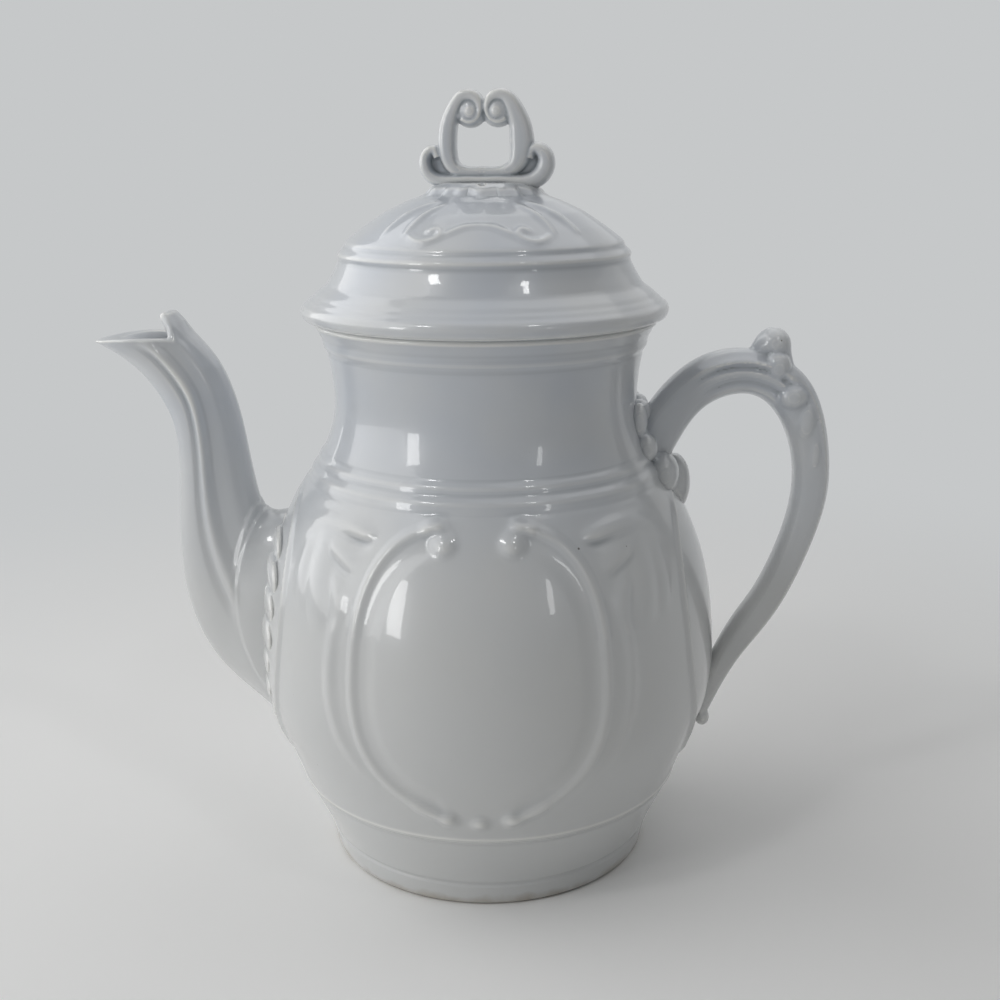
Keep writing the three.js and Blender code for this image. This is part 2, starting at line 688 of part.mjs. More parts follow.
function lidDome() {
  const above = ([r, rise]) => [r, rimHeight + rise];
  const skirt = outside(rimRadius, lidSkirt);
  const dome = lidDomeOutline.map(([share, rise]) => [skirt[skirt.length - 1][0] * share, rise]);
  const profile = [
    [0, 0], ...skirt, ...dome, ...outside(moundRadius, moundOutline),
    [moundRadius - moundTopInset, lidRise], [0, lidRise],
  ].map(above);
  const hollow = [
    [0, lidHollowTop], ...lidHollow, [flangeInner - lidHollowHaunch.inset, lidHollowHaunch.rise],
    [flangeInner, lidHollowFoot], [flangeInner, -overcut], [0, -overcut],
  ].map(above);
  const scallop = (angle, z, radius) => (
    moundRelief * bump(radius - moundRadius, moundEdge) * Math.cos(moundScallops * angle)
  );
  const vent = new THREE.CylinderGeometry(ventRadius, ventRadius, lidRise, 8);
  vent.rotateX(Math.PI / 2);
  vent.translate(0, -ventOffset, lidTop);
  const shell = solid(turned(profile, segments, scallop)).subtract(solid(turned(hollow, insideSegments)));
  return geometryOf(shell.subtract(solid(closed(vent))));
}

function lidFlange() {
  const foot = rimHeight - flangeDepth;
  const profile = [
    [flangeInner, rimHeight], [flangeInner, foot + flangeBevel], [flangeInner + flangeBevel, foot],
    [flangeRadius - flangeBevel, foot], [flangeRadius, foot + flangeBevel], [flangeRadius, rimHeight],
    [flangeInner, rimHeight],
  ];
  return turned(profile, insideSegments);
}

// Open scroll finial: a bar, and on each side an arm rolled in at the top and a volute at the foot
function finial() {
  const onFinial = (side) => ([x, rise]) => new THREE.Vector3(side * x, 0, lidTop + rise);
  const depth = (shares) => graded(shares.map((share) => share * finialHalfDepth));
  const bar = new THREE.BoxGeometry(finialBar.halfLength * 2, finialBar.depth, finialBar.height);
  bar.translate(0, 0, lidTop + finialBar.height / 2);
  const parts = [closed(bar)];
  const roll = Array.from({ length: 6 }, (_, i) => {
    const turn = THREE.MathUtils.degToRad(THREE.MathUtils.lerp(rollTurns[0], rollTurns[1], i / 5));
    const radius = THREE.MathUtils.lerp(rollRadii[0], rollRadii[1], i / 5);
    return [rollCentre[0] + radius * Math.cos(turn), rollCentre[1] + radius * Math.sin(turn)];
  });
  for (const side of [1, -1]) {
    const place = onFinial(side);
    const armCurve = new THREE.CatmullRomCurve3([...armPath, ...roll].map(place), false, 'centripetal');
    parts.push(sweep({
      path: (t) => armCurve.getPoint(t),
      up: () => new THREE.Vector3(0, 1, 0),
      across: graded(armRadii),
      raise: depth(armDepths),
      steps: 12,
      section: outline(8, 2.6),
    }));
    const voluteCurve = new THREE.CatmullRomCurve3(volutePath.map(place), false, 'centripetal');
    parts.push(sweep({
      path: (t) => voluteCurve.getPoint(t),
      up: () => new THREE.Vector3(0, 1, 0),
      across: graded(voluteRadii),
      raise: depth(voluteDepths),
      steps: 9,
      section: outline(8, 2.4),
    }));
    for (const filling of finialBalls) {
      const ball = new THREE.SphereGeometry(filling.radius, 7, 4);
      ball.scale(1, (filling.depth * finialHalfDepth) / filling.radius, 1);
      const centre = place(filling.place);
      ball.translate(centre.x, centre.y, centre.z);
      parts.push(closed(ball));
    }
  }
  return geometryOf(joined(parts));
}

const pot = new THREE.Group();
const wall = potWall();
pot.add(piece('pot_body', wall.body));
pot.add(piece('pot_neck', wall.neck));
pot.add(piece('foot_base', footBase()));
pot.add(piece('spout', spout()));
pot.add(piece('handle', handle()));
pot.add(piece('handle_upper_leaf', upperLeaf(0)));

const lid = new THREE.Group();
lid.add(piece('lid_dome', lidDome()));
lid.add(piece('lid_flange', lidFlange()));
lid.add(piece('lid_finial', finial()));

// The part's origin is on the table under the middle of its box
const teapot = new THREE.Group();
teapot.add(pot, lid);
const extent = new THREE.Box3().setFromObject(teapot);
teapot.position.x = -(extent.min.x + extent.max.x) / 2;

export default teapot;
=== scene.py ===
import logging
import math
from dataclasses import dataclass, field
from enum import Enum
from functools import partial
from typing import Callable, Sequence

import bmesh
import bpy
import numpy as np
from mathutils import Matrix, Vector


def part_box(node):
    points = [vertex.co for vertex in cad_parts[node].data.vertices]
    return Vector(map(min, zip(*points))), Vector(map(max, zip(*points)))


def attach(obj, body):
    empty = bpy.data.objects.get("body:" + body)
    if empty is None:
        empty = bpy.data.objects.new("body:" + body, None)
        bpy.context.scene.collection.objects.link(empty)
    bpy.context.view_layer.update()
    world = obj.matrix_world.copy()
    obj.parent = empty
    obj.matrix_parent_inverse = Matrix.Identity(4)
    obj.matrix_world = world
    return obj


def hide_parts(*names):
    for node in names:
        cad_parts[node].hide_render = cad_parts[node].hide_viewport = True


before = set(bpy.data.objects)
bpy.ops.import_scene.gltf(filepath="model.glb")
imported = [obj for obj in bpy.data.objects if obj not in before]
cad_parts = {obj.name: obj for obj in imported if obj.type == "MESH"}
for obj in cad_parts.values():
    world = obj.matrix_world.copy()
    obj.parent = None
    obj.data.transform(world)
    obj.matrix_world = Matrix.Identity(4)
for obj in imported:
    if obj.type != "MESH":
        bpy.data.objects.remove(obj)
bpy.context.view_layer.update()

# A tall white ironstone teapot of the nineteenth-century moulded kind, dressed over its CAD frame.
# Lengths are millimetres measured from the pot's own turned axis, and become metres in the meshes.
# Angles round the pot are measured from the front (-Y) towards the handle (+X).

MM = 0.001
TURNED_MERGE = 0.00002            # metres within which a turned piece's points become one
PIERCED_MERGE = 0.000002
LOG = logging.getLogger("teapot")

Curve = Callable[[np.ndarray], np.ndarray]
Unroll = Callable[[np.ndarray, np.ndarray], np.ndarray]
Points = Sequence[Sequence[float]]
Object = bpy.types.Object
Material = bpy.types.Material
Node = bpy.types.Node
Socket = bpy.types.NodeSocket
Tree = bpy.types.NodeTree


class Body(Enum):
    """The two CAD bodies that pieces ride on."""

    POT = "pot"
    LID = "lid"


class Slot(Enum):
    """The record's material slots."""

    GLAZE = "glaze"


# Curves and relief profiles

def smooth_curve(places: Sequence[float], values: Sequence[float]) -> Curve:
    """Fit a natural cubic spline.

    Args:
        places: Increasing places of the stations.
        values: The value at each station.

    Returns:
        The value at any place, held constant beyond the two ends.
    """
    x = np.asarray(places, float)
    y = np.asarray(values, float)
    count = len(x)
    gap = np.diff(x)
    matrix = np.eye(count)
    right = np.zeros(count)
    for i in range(1, count - 1):
        matrix[i, i - 1:i + 2] = gap[i - 1], 2 * (gap[i - 1] + gap[i]), gap[i]
        right[i] = 6 * ((y[i + 1] - y[i]) / gap[i] - (y[i] - y[i - 1]) / gap[i - 1])
    bend = np.linalg.solve(matrix, right)

    def value(place: np.ndarray) -> np.ndarray:
        """Evaluate the spline at the places."""
        place = np.clip(place, x[0], x[-1])
        i = np.clip(np.searchsorted(x, place) - 1, 0, count - 2)
        a = (x[i + 1] - place) / gap[i]
        b = 1 - a
        cubic = (a ** 3 - a) * bend[i] + (b ** 3 - b) * bend[i + 1]
        return a * y[i] + b * y[i + 1] + cubic * gap[i] ** 2 / 6

    return value


def graded(values: Sequence[float]) -> Curve:
    """Spread values evenly over 0 to 1 as a smooth curve."""
    return smooth_curve(np.linspace(0, 1, len(values)), values)


def rail(stations: Points) -> Curve:
    """Carry a curve through points, each the same share of its length from 0 to 1.

    Args:
        stations: The points, two or three numbers each.

    Returns:
        The point at each share, in the last dimension.
    """
    curves = [graded(row) for row in np.asarray(stations, float).T]
    return lambda share: np.stack([curve(share) for curve in curves], axis=-1)


def measure(points: Points, power: float = 1.0) -> np.ndarray:
    """Measure how far along their path points lie.

    Args:
        points: The points in order.
        power: Power of each step's length; 0.5 gives short steps more weight.

    Returns:
        The distance of each point from the first.
    """
    steps = np.linalg.norm(np.diff(np.asarray(points, float), axis=0), axis=1) ** power
    return np.concatenate([[0], np.cumsum(steps)])


def winding(stations: Points, count: int) -> np.ndarray:
    """Draw a curve that keeps close to its points in tight turns.

    Args:
        stations: The points.
        count: How many points to return.

    Returns:
        Points evenly spaced over the curve's own measure.
    """
    places = measure(stations, 0.5)
    share = np.linspace(0, places[-1], count)
    return np.stack([smooth_curve(places, row)(share) for row in np.asarray(stations, float).T], axis=-1)


def bump(distance: np.ndarray, half_width: float) -> np.ndarray:
    """Give a soft swelling: 1 in its middle, 0 from its half-width on."""
    share = np.clip(np.abs(distance) / np.maximum(half_width, 1e-6), 0, 1)
    return np.cos(share * math.pi / 2) ** 2


def smoothstep(value: np.ndarray, low: float, high: float) -> np.ndarray:
    """Rise smoothly from 0 at low to 1 at high."""
    share = np.clip((value - low) / (high - low), 0, 1)
    return share * share * (3 - 2 * share)


def window(value: np.ndarray, span: Sequence[float]) -> np.ndarray:
    """Rise from 0 to 1 between the span's first two places and fall again between its last two."""
    start, full, fade, end = span
    return smoothstep(value, start, full) * (1 - smoothstep(value, fade, end))


def bell(cells: float, reach: int) -> np.ndarray:
    """Weigh the cells on either side of a place by a bell curve."""
    weights = np.exp(-0.5 * (np.arange(-reach, reach + 1) / cells) ** 2)
    return weights / weights.sum()


def softened(line: np.ndarray, cells: float, reach: int) -> np.ndarray:
    """Soften a line of values or points; its two ends stay where they are.

    Args:
        line: The values or points, evenly spaced.
        cells: Radius of the softening in steps of the line.
        reach: Steps that it looks to either side.

    Returns:
        The softened line.
    """
    padded = np.concatenate([2 * line[0] - line[reach:0:-1], line, 2 * line[-1] - line[-2:-reach - 2:-1]])
    return sum(weight * padded[i:i + len(line)] for i, weight in enumerate(bell(cells, reach)))


def melted(relief: np.ndarray, cells: float) -> np.ndarray:
    """Soften a grid of relief, as a worn mould and a thick glaze do.

    Args:
        relief: Heights as (row, column), closed along the columns.
        cells: Radius of the softening in cells of the grid.

    Returns:
        The softened heights.
    """
    reach = max(1, int(3 * cells))
    weights = bell(cells, reach)
    rows = np.pad(relief, ((reach, reach), (0, 0)), mode="edge")
    rows = sum(weight * rows[i:i + len(relief)] for i, weight in enumerate(weights))
    columns = np.pad(rows, ((0, 0), (reach, reach)), mode="wrap")
    return sum(weight * columns[:, i:i + relief.shape[1]] for i, weight in enumerate(weights))


def eased(points: Points, spacing: float, softness: float) -> np.ndarray:
    """Round a profile's corners, as throwing and glaze do.

    Args:
        points: Corners and stations of the profile in order.
        spacing: Distance between the returned points.
        softness: Radius of the rounding.

    Returns:
        The eased profile; its two ends stay where they are.
    """
    places = measure(points)
    share = np.linspace(0, places[-1], int(places[-1] / spacing) + 2)
    line = np.stack([np.interp(share, places, row) for row in np.asarray(points, float).T], axis=-1)
    cells = softness / share[1]
    return softened(line, cells, max(1, int(3 * cells)))


@dataclass(frozen=True)
class Stroke:
    """A modelled ridge, lobe or hollow along a path on a turned surface.

    The path's points are (degrees from the middle of the ornament, height). Widths are half-widths
    and heights stand off the wall, both in millimetres from the path's start to its end; a hollow
    has heights below 0. Roundness 1 gives a full bead and 2 a soft ridge.
    """

    path: Points
    widths: tuple[float, ...]
    heights: tuple[float, ...]
    roundness: float = 1.4

    def relief(self, across: np.ndarray, along: np.ndarray, unroll: Unroll) -> np.ndarray:
        """Work out how far the stroke stands off the wall at each place.

        Args:
            across: Distance round the wall from the ornament's middle, in millimetres.
            along: Distance up the wall's profile, in millimetres.
            unroll: Turns (radians, height) into (across, along).

        Returns:
            The relief, 0 where the stroke doesn't reach.
        """
        path = winding(self.path, max(2, 6 * len(self.path)))
        places = unroll(np.radians(path[:, 0]), path[:, 1])
        share = np.linspace(0, 1, len(places))
        widths, heights = graded(self.widths)(share), graded(self.heights)(share)
        reach = widths.max()
        low, high = places.min(axis=0) - reach, places.max(axis=0) + reach
        near = (across > low[0]) & (across < high[0]) & (along > low[1]) & (along < high[1])
        spots = np.stack([across[near], along[near]], axis=-1)
        found = np.zeros(len(spots))
        for i, step in enumerate(np.diff(places, axis=0)):
            offset = spots - places[i]
            t = np.clip(offset @ step / max(float(step @ step), 1e-9), 0, 1)
            distance = np.linalg.norm(offset - t[:, None] * step, axis=1)
            width = widths[i] + t * (widths[i + 1] - widths[i])
            height = heights[i] + t * (heights[i + 1] - heights[i])
            rise = height * np.clip(1 - (distance / width) ** 2, 0, 1) ** self.roundness
            found = np.where(np.abs(rise) > np.abs(found), rise, found)
        relief = np.zeros_like(across)
        relief[near] = found
        return relief


def laid(strokes: Sequence[Stroke], across: np.ndarray, along: np.ndarray, unroll: Unroll) -> np.ndarray:
    """Lay raised strokes over each other; the highest one shows at each place."""
    return np.maximum.reduce([0 * across, *(stroke.relief(across, along, unroll) for stroke in strokes)])


def from_front(angle: np.ndarray) -> np.ndarray:
    """Fold angles round the pot to their distance from the nearer of front and back."""
    return np.abs(np.arcsin(np.sin(angle)))


def around(angle: np.ndarray, radius: np.ndarray, z: np.ndarray) -> np.ndarray:
    """Points at angles from the front, radii and heights."""
    return np.stack(np.broadcast_arrays(radius * np.sin(angle), -radius * np.cos(angle), z), axis=-1)


def spaced(stretches: Sequence[tuple[float, float, float]]) -> np.ndarray:
    """List places over stretches, each (start, end, pitch)."""
    places = [np.linspace(a, b, max(2, int(round((b - a) / pitch)) + 1))[:-1] for a, b, pitch in stretches]
    return np.concatenate([*places, [stretches[-1][1]]])


# Meshes

def axis_place() -> float:
    """Place of the pot's turned axis along X in the part's frame, in millimetres."""
    low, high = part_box("foot_base")
    return (low.x + high.x) / 2 / MM


AXIS_X = axis_place()


def grid_faces(rows: int, columns: int, loop: bool = False) -> list[list[int]]:
    """List the quads between rings of points.

    Args:
        rows: Number of rings.
        columns: Number of points in a ring.
        loop: Whether the last ring joins the first.

    Returns:
        Four point numbers for each quad.
    """
    row = np.arange(rows if loop else rows - 1)[:, None]
    column = np.arange(columns)[None, :]
    next_row, next_column = (row + 1) % rows, (column + 1) % columns
    corners = [row * columns + column, row * columns + next_column,
               next_row * columns + next_column, next_row * columns + column]
    return np.stack([corner.ravel() for corner in corners], axis=-1).tolist()


def linked(name: str, data: bpy.types.ID) -> Object:
    """Put a mesh, a lamp or a camera into the scene.

    Args:
        name: The new object's name.
        data: The mesh, lamp or camera.

    Returns:
        The object.
    """
    obj = bpy.data.objects.new(name, data)
    bpy.context.scene.collection.objects.link(obj)
    return obj


def new_object(name: str, points: np.ndarray, faces: Sequence = (), edges: Sequence = (),
               axis: float = AXIS_X) -> Object:
    """Make a mesh object from points about an upright axis.

    Args:
        name: The piece's name.
        points: Points in millimetres.
        faces: Point numbers of each face.
        edges: Point numbers of each loose edge.
        axis: The axis's place along X in millimetres.

    Returns:
        The object.
    """
    place = np.asarray(points, float).reshape(-1, 3) + (axis, 0, 0)
    mesh = bpy.data.meshes.new(name)
    mesh.from_pydata((place * MM).tolist(), edges, faces)
    return linked(name, mesh)


def kept(name: str, work: bmesh.types.BMesh) -> Object:
    """Keep a bmesh as a new object.

    Args:
        name: The object's name.
        work: The bmesh, which is freed.

    Returns:
        The object.
    """
    mesh = bpy.data.meshes.new(name)
    work.to_mesh(mesh)
    work.free()
    return linked(name, mesh)


def close_up(obj: Object, merge: float = 0.00001) -> Object:
    """Merge doubled points and turn every face outwards.

    Args:
        obj: The object, whose mesh is changed.
        merge: Distance in metres within which points become one.

    Returns:
        The same object.
    """
    work = bmesh.new()
    work.from_mesh(obj.data)
    bmesh.ops.remove_doubles(work, verts=work.verts, dist=merge)
    bmesh.ops.recalc_face_normals(work, faces=work.faces)
    work.to_mesh(obj.data)
    work.free()
    return obj


def skin(name: str, rings: np.ndarray, loop: bool = False) -> Object:
    """Make a closed skin over rings of points; open ends are capped.

    Args:
        name: The piece's name.
        rings: Points as (ring, place in the ring, xyz).
        loop: Whether the last ring joins the first.

    Returns:
        The object.
    """
    count, columns = rings.shape[:2]
    faces = grid_faces(count, columns, loop)
    points = rings.reshape(-1, 3)
    if not loop:
        points = np.vstack([points, rings[0].mean(axis=0), rings[-1].mean(axis=0)])
        for end, start in ((0, 0), (1, (count - 1) * columns)):
            for j in range(columns):
                edge = [start + j, start + (j + 1) % columns]
                faces.append([*(edge if end else edge[::-1]), count * columns + end])
    return close_up(new_object(name, points, faces))


def section(sides: int, squareness: float) -> list[np.ndarray]:
    """Work out the two coordinates of a superellipse; squareness 2 is round."""
    turn = (np.arange(sides) + 0.5) / sides * 2 * math.pi
    return [np.sign(f) * np.abs(f) ** (2 / squareness) for f in (np.cos(turn), np.sin(turn))]


def sweep(name: str, path: np.ndarray, across: np.ndarray, depth: np.ndarray, sides: int,
          squareness: float = 2.0) -> Object:
    """Carry a rounded section along a path that lies in the pot's middle plane.

    Args:
        name: The piece's name.
        path: Points of the path as (x, z).
        across: Half-thickness in the plane at each point.
        depth: Half-depth along Y at each point.
        sides: Points round the section.
        squareness: Superellipse exponent of the section; 2 is round.

    Returns:
        The object.
    """
    out, deep = section(sides, squareness)
    tangent = np.gradient(path, axis=0)
    tangent /= np.linalg.norm(tangent, axis=1, keepdims=True)
    side = np.stack([tangent[:, 1], -tangent[:, 0]], axis=-1)
    rings = np.zeros((len(path), sides, 3))
    rings[:, :, ::2] = path[:, None] + side[:, None] * across[:, None, None] * out[:, None]
    rings[:, :, 1] = depth[:, None] * deep
    return skin(name, rings)


def ball(name: str, centre: Sequence[float], radii: Sequence[float], count: int = 24) -> Object:
    """Make an ellipsoid that melts into its neighbours.

    Args:
        name: The piece's name.
        centre: Its middle in millimetres from the pot's axis.
        radii: Its three radii in millimetres.
        count: Facets round it.

    Returns:
        The object.
    """
    work = bmesh.new()
    bmesh.ops.create_uvsphere(work, u_segments=count, v_segments=count // 2, radius=1)
    place = Matrix.Translation(Vector(centre) + Vector((AXIS_X, 0, 0))) @ Matrix.Diagonal((*radii, 1))
    bmesh.ops.transform(work, matrix=Matrix.Scale(MM, 4) @ place, verts=work.verts)
    return kept(name, work)


def joined(name: str, parts: Sequence[Object]) -> Object:
    """Put several objects into one mesh object and drop the originals.

    Args:
        name: The new object's name.
        parts: The objects.

    Returns:
        The new object.
    """
    work = bmesh.new()
    for part in parts:
        work.from_mesh(part.data)
        bpy.data.objects.remove(part)
    return kept(name, work)


def baked(obj: Object) -> Object:
    """Turn an object's modifiers into its plain mesh.

    Args:
        obj: The object with its modifiers.

    Returns:
        The same object without them.
    """
    depsgraph = bpy.context.evaluated_depsgraph_get()
    mesh = bpy.data.meshes.new_from_object(obj.evaluated_get(depsgraph))
    mesh.name = obj.name
    obj.modifiers.clear()
    obj.data = mesh
    return obj


def fused(obj: Object, voxel: float, rounds: int) -> Object:
    """Melt overlapping forms into one skin, as slip and glaze do.

    Args:
        obj: The object whose closed forms overlap.
        voxel: Size of the new skin's cells in millimetres.
        rounds: How often the skin is softened.

    Returns:
        The object with its new mesh.
    """
    melt = obj.modifiers.new("melt", "REMESH")
    melt.mode = "VOXEL"
    melt.voxel_size = voxel * MM
    soften = obj.modifiers.new("soften", "SMOOTH")
    soften.factor = 0.5
    soften.iterations = rounds
    return baked(obj)


# Geometry Nodes trees

def add_node(tree: Tree, kind: str, settings: dict | None = None, links: dict | None = None) -> Node:
    """Add a node with its settings and links.

    Args:
        tree: The shader or geometry tree.
        kind: The node's type name.
        settings: Values by property name, or by input socket name or number.
        links: What feeds the inputs, by input socket name or number: a socket, or a node's first output.

    Returns:
        The new node.
    """
    node = tree.nodes.new(kind)
    for key, value in (settings or {}).items():
        if isinstance(key, str) and hasattr(node, key):
            setattr(node, key, value)
        else:
            node.inputs[key].default_value = value
    for key, source in (links or {}).items():
        socket = source.outputs[0] if isinstance(source, Node) else source
        tree.links.new(socket, node.inputs[key])
    return node


def new_tree(name: str, sizes: dict[str, str]) -> tuple[Tree, Node]:
    """Start a Geometry Nodes tree.

    Args:
        name: The tree's name.
        sizes: Socket type of each named input after the geometry and the finish.

    Returns:
        The tree and its group input node.
    """
    tree = bpy.data.node_groups.new(name, "GeometryNodeTree")
    for label, kind in {"Geometry": "NodeSocketGeometry", "Finish": "NodeSocketMaterial", **sizes}.items():
        tree.interface.new_socket(label, in_out="INPUT", socket_type=kind)
    tree.interface.new_socket("Geometry", in_out="OUTPUT", socket_type="NodeSocketGeometry")
    return tree, tree.nodes.new("NodeGroupInput")


def end_tree(tree: Tree, geometry: Node, finish: Socket) -> Tree:
    """End a tree in Realize Instances and Set Material.

    Args:
        tree: The tree.
        geometry: The node that gives the finished shape.
        finish: The socket that gives its material.

    Returns:
        The same tree.
    """
    real = add_node(tree, "GeometryNodeRealizeInstances", links={"Geometry": geometry})
    dressed = add_node(tree, "GeometryNodeSetMaterial", links={"Geometry": real, "Material": finish})
    add_node(tree, "NodeGroupOutput", links={"Geometry": dressed})
    return tree


def run_tree(obj: Object, tree: Tree, values: dict[str, object]) -> None:
    """Run a Geometry Nodes tree on an object and keep the result as its mesh.

    Args:
        obj: The object.
        tree: The tree.
        values: The value of each named input.
    """
    modifier = obj.modifiers.new(tree.name, "NODES")
    modifier.node_group = tree
    for item in tree.interface.items_tree:
        if item.item_type == "SOCKET" and item.in_out == "INPUT" and item.name in values:
            modifier[item.identifier] = values[item.name]
    baked(obj)


def lathe_tree() -> Tree:
    """Build the tree that turns a profile, as a lathe or a jigger does.

    Returns:
        A tree that reads the profile's points in order and spins them about the pot's axis.
    """
    tree, start = new_tree("turned_on_the_wheel", {
        "Segments": "NodeSocketInt", "Axis X": "NodeSocketFloat", "Merge": "NodeSocketFloat"})
    node, given = partial(add_node, tree), start.outputs
    size = node("GeometryNodeAttributeDomainSize", {"component": "MESH"}, {"Geometry": given["Geometry"]})
    count = size.outputs["Point Count"]
    columns = node("ShaderNodeMath", {"operation": "ADD", 1: 1.0}, {0: given["Segments"]})
    grid = node("GeometryNodeMeshGrid", {"Size X": 1.0, "Size Y": 1.0},
                {"Vertices X": columns, "Vertices Y": count})
    index = node("GeometryNodeInputIndex")
    row = node("ShaderNodeMath", {"operation": "MODULO"}, {0: index, 1: count})
    column = node("ShaderNodeMath", {"operation": "DIVIDE"}, {0: index, 1: count})
    whole = node("ShaderNodeMath", {"operation": "FLOOR"}, {0: column})
    share = node("ShaderNodeMath", {"operation": "DIVIDE"}, {0: whole, 1: given["Segments"]})
    turn = node("ShaderNodeMath", {"operation": "MULTIPLY", 1: 2 * math.pi}, {0: share})
    profile = node("GeometryNodeSampleIndex", {"data_type": "FLOAT_VECTOR", "domain": "POINT"},
                   {"Geometry": given["Geometry"], "Index": row, "Value": node("GeometryNodeInputPosition")})
    spun = node("ShaderNodeVectorRotate", {"rotation_type": "Z_AXIS"}, {"Vector": profile, "Angle": turn})
    axis = node("ShaderNodeCombineXYZ", links={"X": given["Axis X"]})
    placed = node("ShaderNodeVectorMath", {"operation": "ADD"}, {0: spun, 1: axis})
    moved = node("GeometryNodeSetPosition", links={"Geometry": grid, "Position": placed})
    closed = node("GeometryNodeMergeByDistance", links={"Geometry": moved, "Distance": given["Merge"]})
    return end_tree(tree, closed, given["Finish"])


def pierce_tree() -> Tree:
    """Build the tree that pierces holes at the points of another object.

    Returns:
        A tree that cuts a round hole along X or Z at each point of the object named Places.
    """
    tree, start = new_tree("pierced_with_a_punch", {
        "Places": "NodeSocketObject", "Radius": "NodeSocketFloat", "Depth": "NodeSocketFloat",
        "Turn": "NodeSocketFloat"})
    node, given = partial(add_node, tree), start.outputs
    places = node("GeometryNodeObjectInfo", {"transform_space": "ORIGINAL"}, {"Object": given["Places"]})
    punch = node("GeometryNodeMeshCylinder", {"Vertices": 20},
                 {"Radius": given["Radius"], "Depth": given["Depth"]})
    lean = node("ShaderNodeCombineXYZ", links={"Y": given["Turn"]})
    turned = node("FunctionNodeEulerToRotation", links={0: lean})
    holes = node("GeometryNodeInstanceOnPoints", links={
        "Points": places.outputs["Geometry"], "Instance": punch, "Rotation": turned})
    solid = node("GeometryNodeRealizeInstances", links={"Geometry": holes})
    cut = node("GeometryNodeMeshBoolean", {"operation": "DIFFERENCE", "solver": "MANIFOLD"},
               {0: given["Geometry"], 1: solid})
    return end_tree(tree, cut, given["Finish"])


def lobes_tree() -> Tree:
    """Build the tree that lays leaf lobes along a seam, as a modeller presses them on.

    Returns:
        A tree that follows the mesh's chains of points with a strap of clay and sets evenly spaced
        lobes on it, each turned to the pot's axis and sized by the points' attribute "size".
    """
    tree, start = new_tree("lobes_pressed_along_a_seam", {
        "Lobes": "NodeSocketInt", "Strap": "NodeSocketFloat", "Lobe": "NodeSocketVector",
        "Axis X": "NodeSocketFloat", "Unevenness": "NodeSocketFloat", "Seed": "NodeSocketInt"})
    node, given = partial(add_node, tree), start.outputs
    seam = node("GeometryNodeMeshToCurve", links={"Mesh": given["Geometry"]})
    round_section = node("GeometryNodeCurvePrimitiveCircle", {"Resolution": 20}, {"Radius": given["Strap"]})
    strap = node("GeometryNodeCurveToMesh", {"Fill Caps": True},
                 {"Curve": seam, "Profile Curve": round_section})
    spots = node("GeometryNodeCurveToPoints", {"mode": "COUNT"}, {"Curve": seam, "Count": given["Lobes"]})
    lump = node("GeometryNodeMeshUVSphere", {"Segments": 28, "Rings": 18, "Radius": 1.0})
    split = node("ShaderNodeSeparateXYZ", links={0: node("GeometryNodeInputPosition")})
    from_axis = node("ShaderNodeMath", {"operation": "SUBTRACT"}, {0: split, 1: given["Axis X"]})
    heading = node("ShaderNodeMath", {"operation": "ARCTAN2"}, {0: split.outputs["Y"], 1: from_axis})
    turn = node("ShaderNodeCombineXYZ", links={"Z": heading})
    facing = node("FunctionNodeEulerToRotation", links={0: turn})
    size = node("GeometryNodeInputNamedAttribute", {"data_type": "FLOAT", "Name": "size"})
    low = node("ShaderNodeMath", {"operation": "SUBTRACT", 0: 1.0}, {1: given["Unevenness"]})
    high = node("ShaderNodeMath", {"operation": "ADD", 0: 1.0}, {1: given["Unevenness"]})
    chance = node("FunctionNodeRandomValue", {"data_type": "FLOAT"},
                  {2: low, 3: high, "Seed": given["Seed"]})
    grown = node("ShaderNodeMath", {"operation": "MULTIPLY"},
                 {0: size.outputs["Attribute"], 1: chance.outputs[1]})
    scale = node("ShaderNodeVectorMath", {"operation": "SCALE"}, {0: given["Lobe"], "Scale": grown})
    lobes = node("GeometryNodeInstanceOnPoints", links={
        "Points": spots, "Instance": lump, "Rotation": facing, "Scale": scale})
    both = node("GeometryNodeJoinGeometry", links={0: lobes})
    tree.links.new(strap.outputs[0], both.inputs[0])
    return end_tree(tree, both, given["Finish"])


def turned_piece(name: str, profile: np.ndarray, finish: Material, segments: int) -> Object:
    """Turn a profile into a closed piece with the lathe tree.

    Args:
        name: The piece's name.
        profile: Points as (radius, height) in order, closed on the axis or on itself.
        finish: The piece's material.
        segments: Facets round the axis.

    Returns:
        The object.
    """
    places = np.insert(profile, 1, 0, axis=1)
    obj = new_object(name, places, edges=[(i, i + 1) for i in range(len(places) - 1)], axis=0)
    run_tree(obj, lathe_tree(), {
        "Finish": finish, "Segments": segments, "Axis X": AXIS_X * MM, "Merge": TURNED_MERGE})
    return close_up(obj)


def pierced(obj: Object, places: Points, radius: float, depth: float, turn: float,
            finish: Material) -> Object:
    """Pierce round holes with the punch tree.

    Args:
        obj: The piece.
        places: Middle of each hole, in millimetres.
        radius: Radius of a hole.
        depth: Length of the punch.
        turn: Turn of the punch about Y from upright, in radians.
        finish: The piece's material.

    Returns:
        The piece with its holes.
    """
    marks = new_object("punch_places", places)
    run_tree(obj, pierce_tree(), {
        "Finish": finish, "Places": marks, "Radius": radius * MM, "Depth": depth * MM, "Turn": turn})
    bpy.data.objects.remove(marks)
    return close_up(obj, PIERCED_MERGE)


# Finishes

def colour(code: str) -> tuple[float, float, float, float]:
    """Turn an sRGB hex code into a linear colour.

    Args:
        code: The code with its leading sign.

    Returns:
        Red, green, blue and alpha.
    """
    parts = [int(code[i:i + 2], 16) / 255 for i in (1, 3, 5)]
    linear = [p / 12.92 if p <= 0.04045 else ((p + 0.055) / 1.055) ** 2.4 for p in parts]
    return (*linear, 1.0)


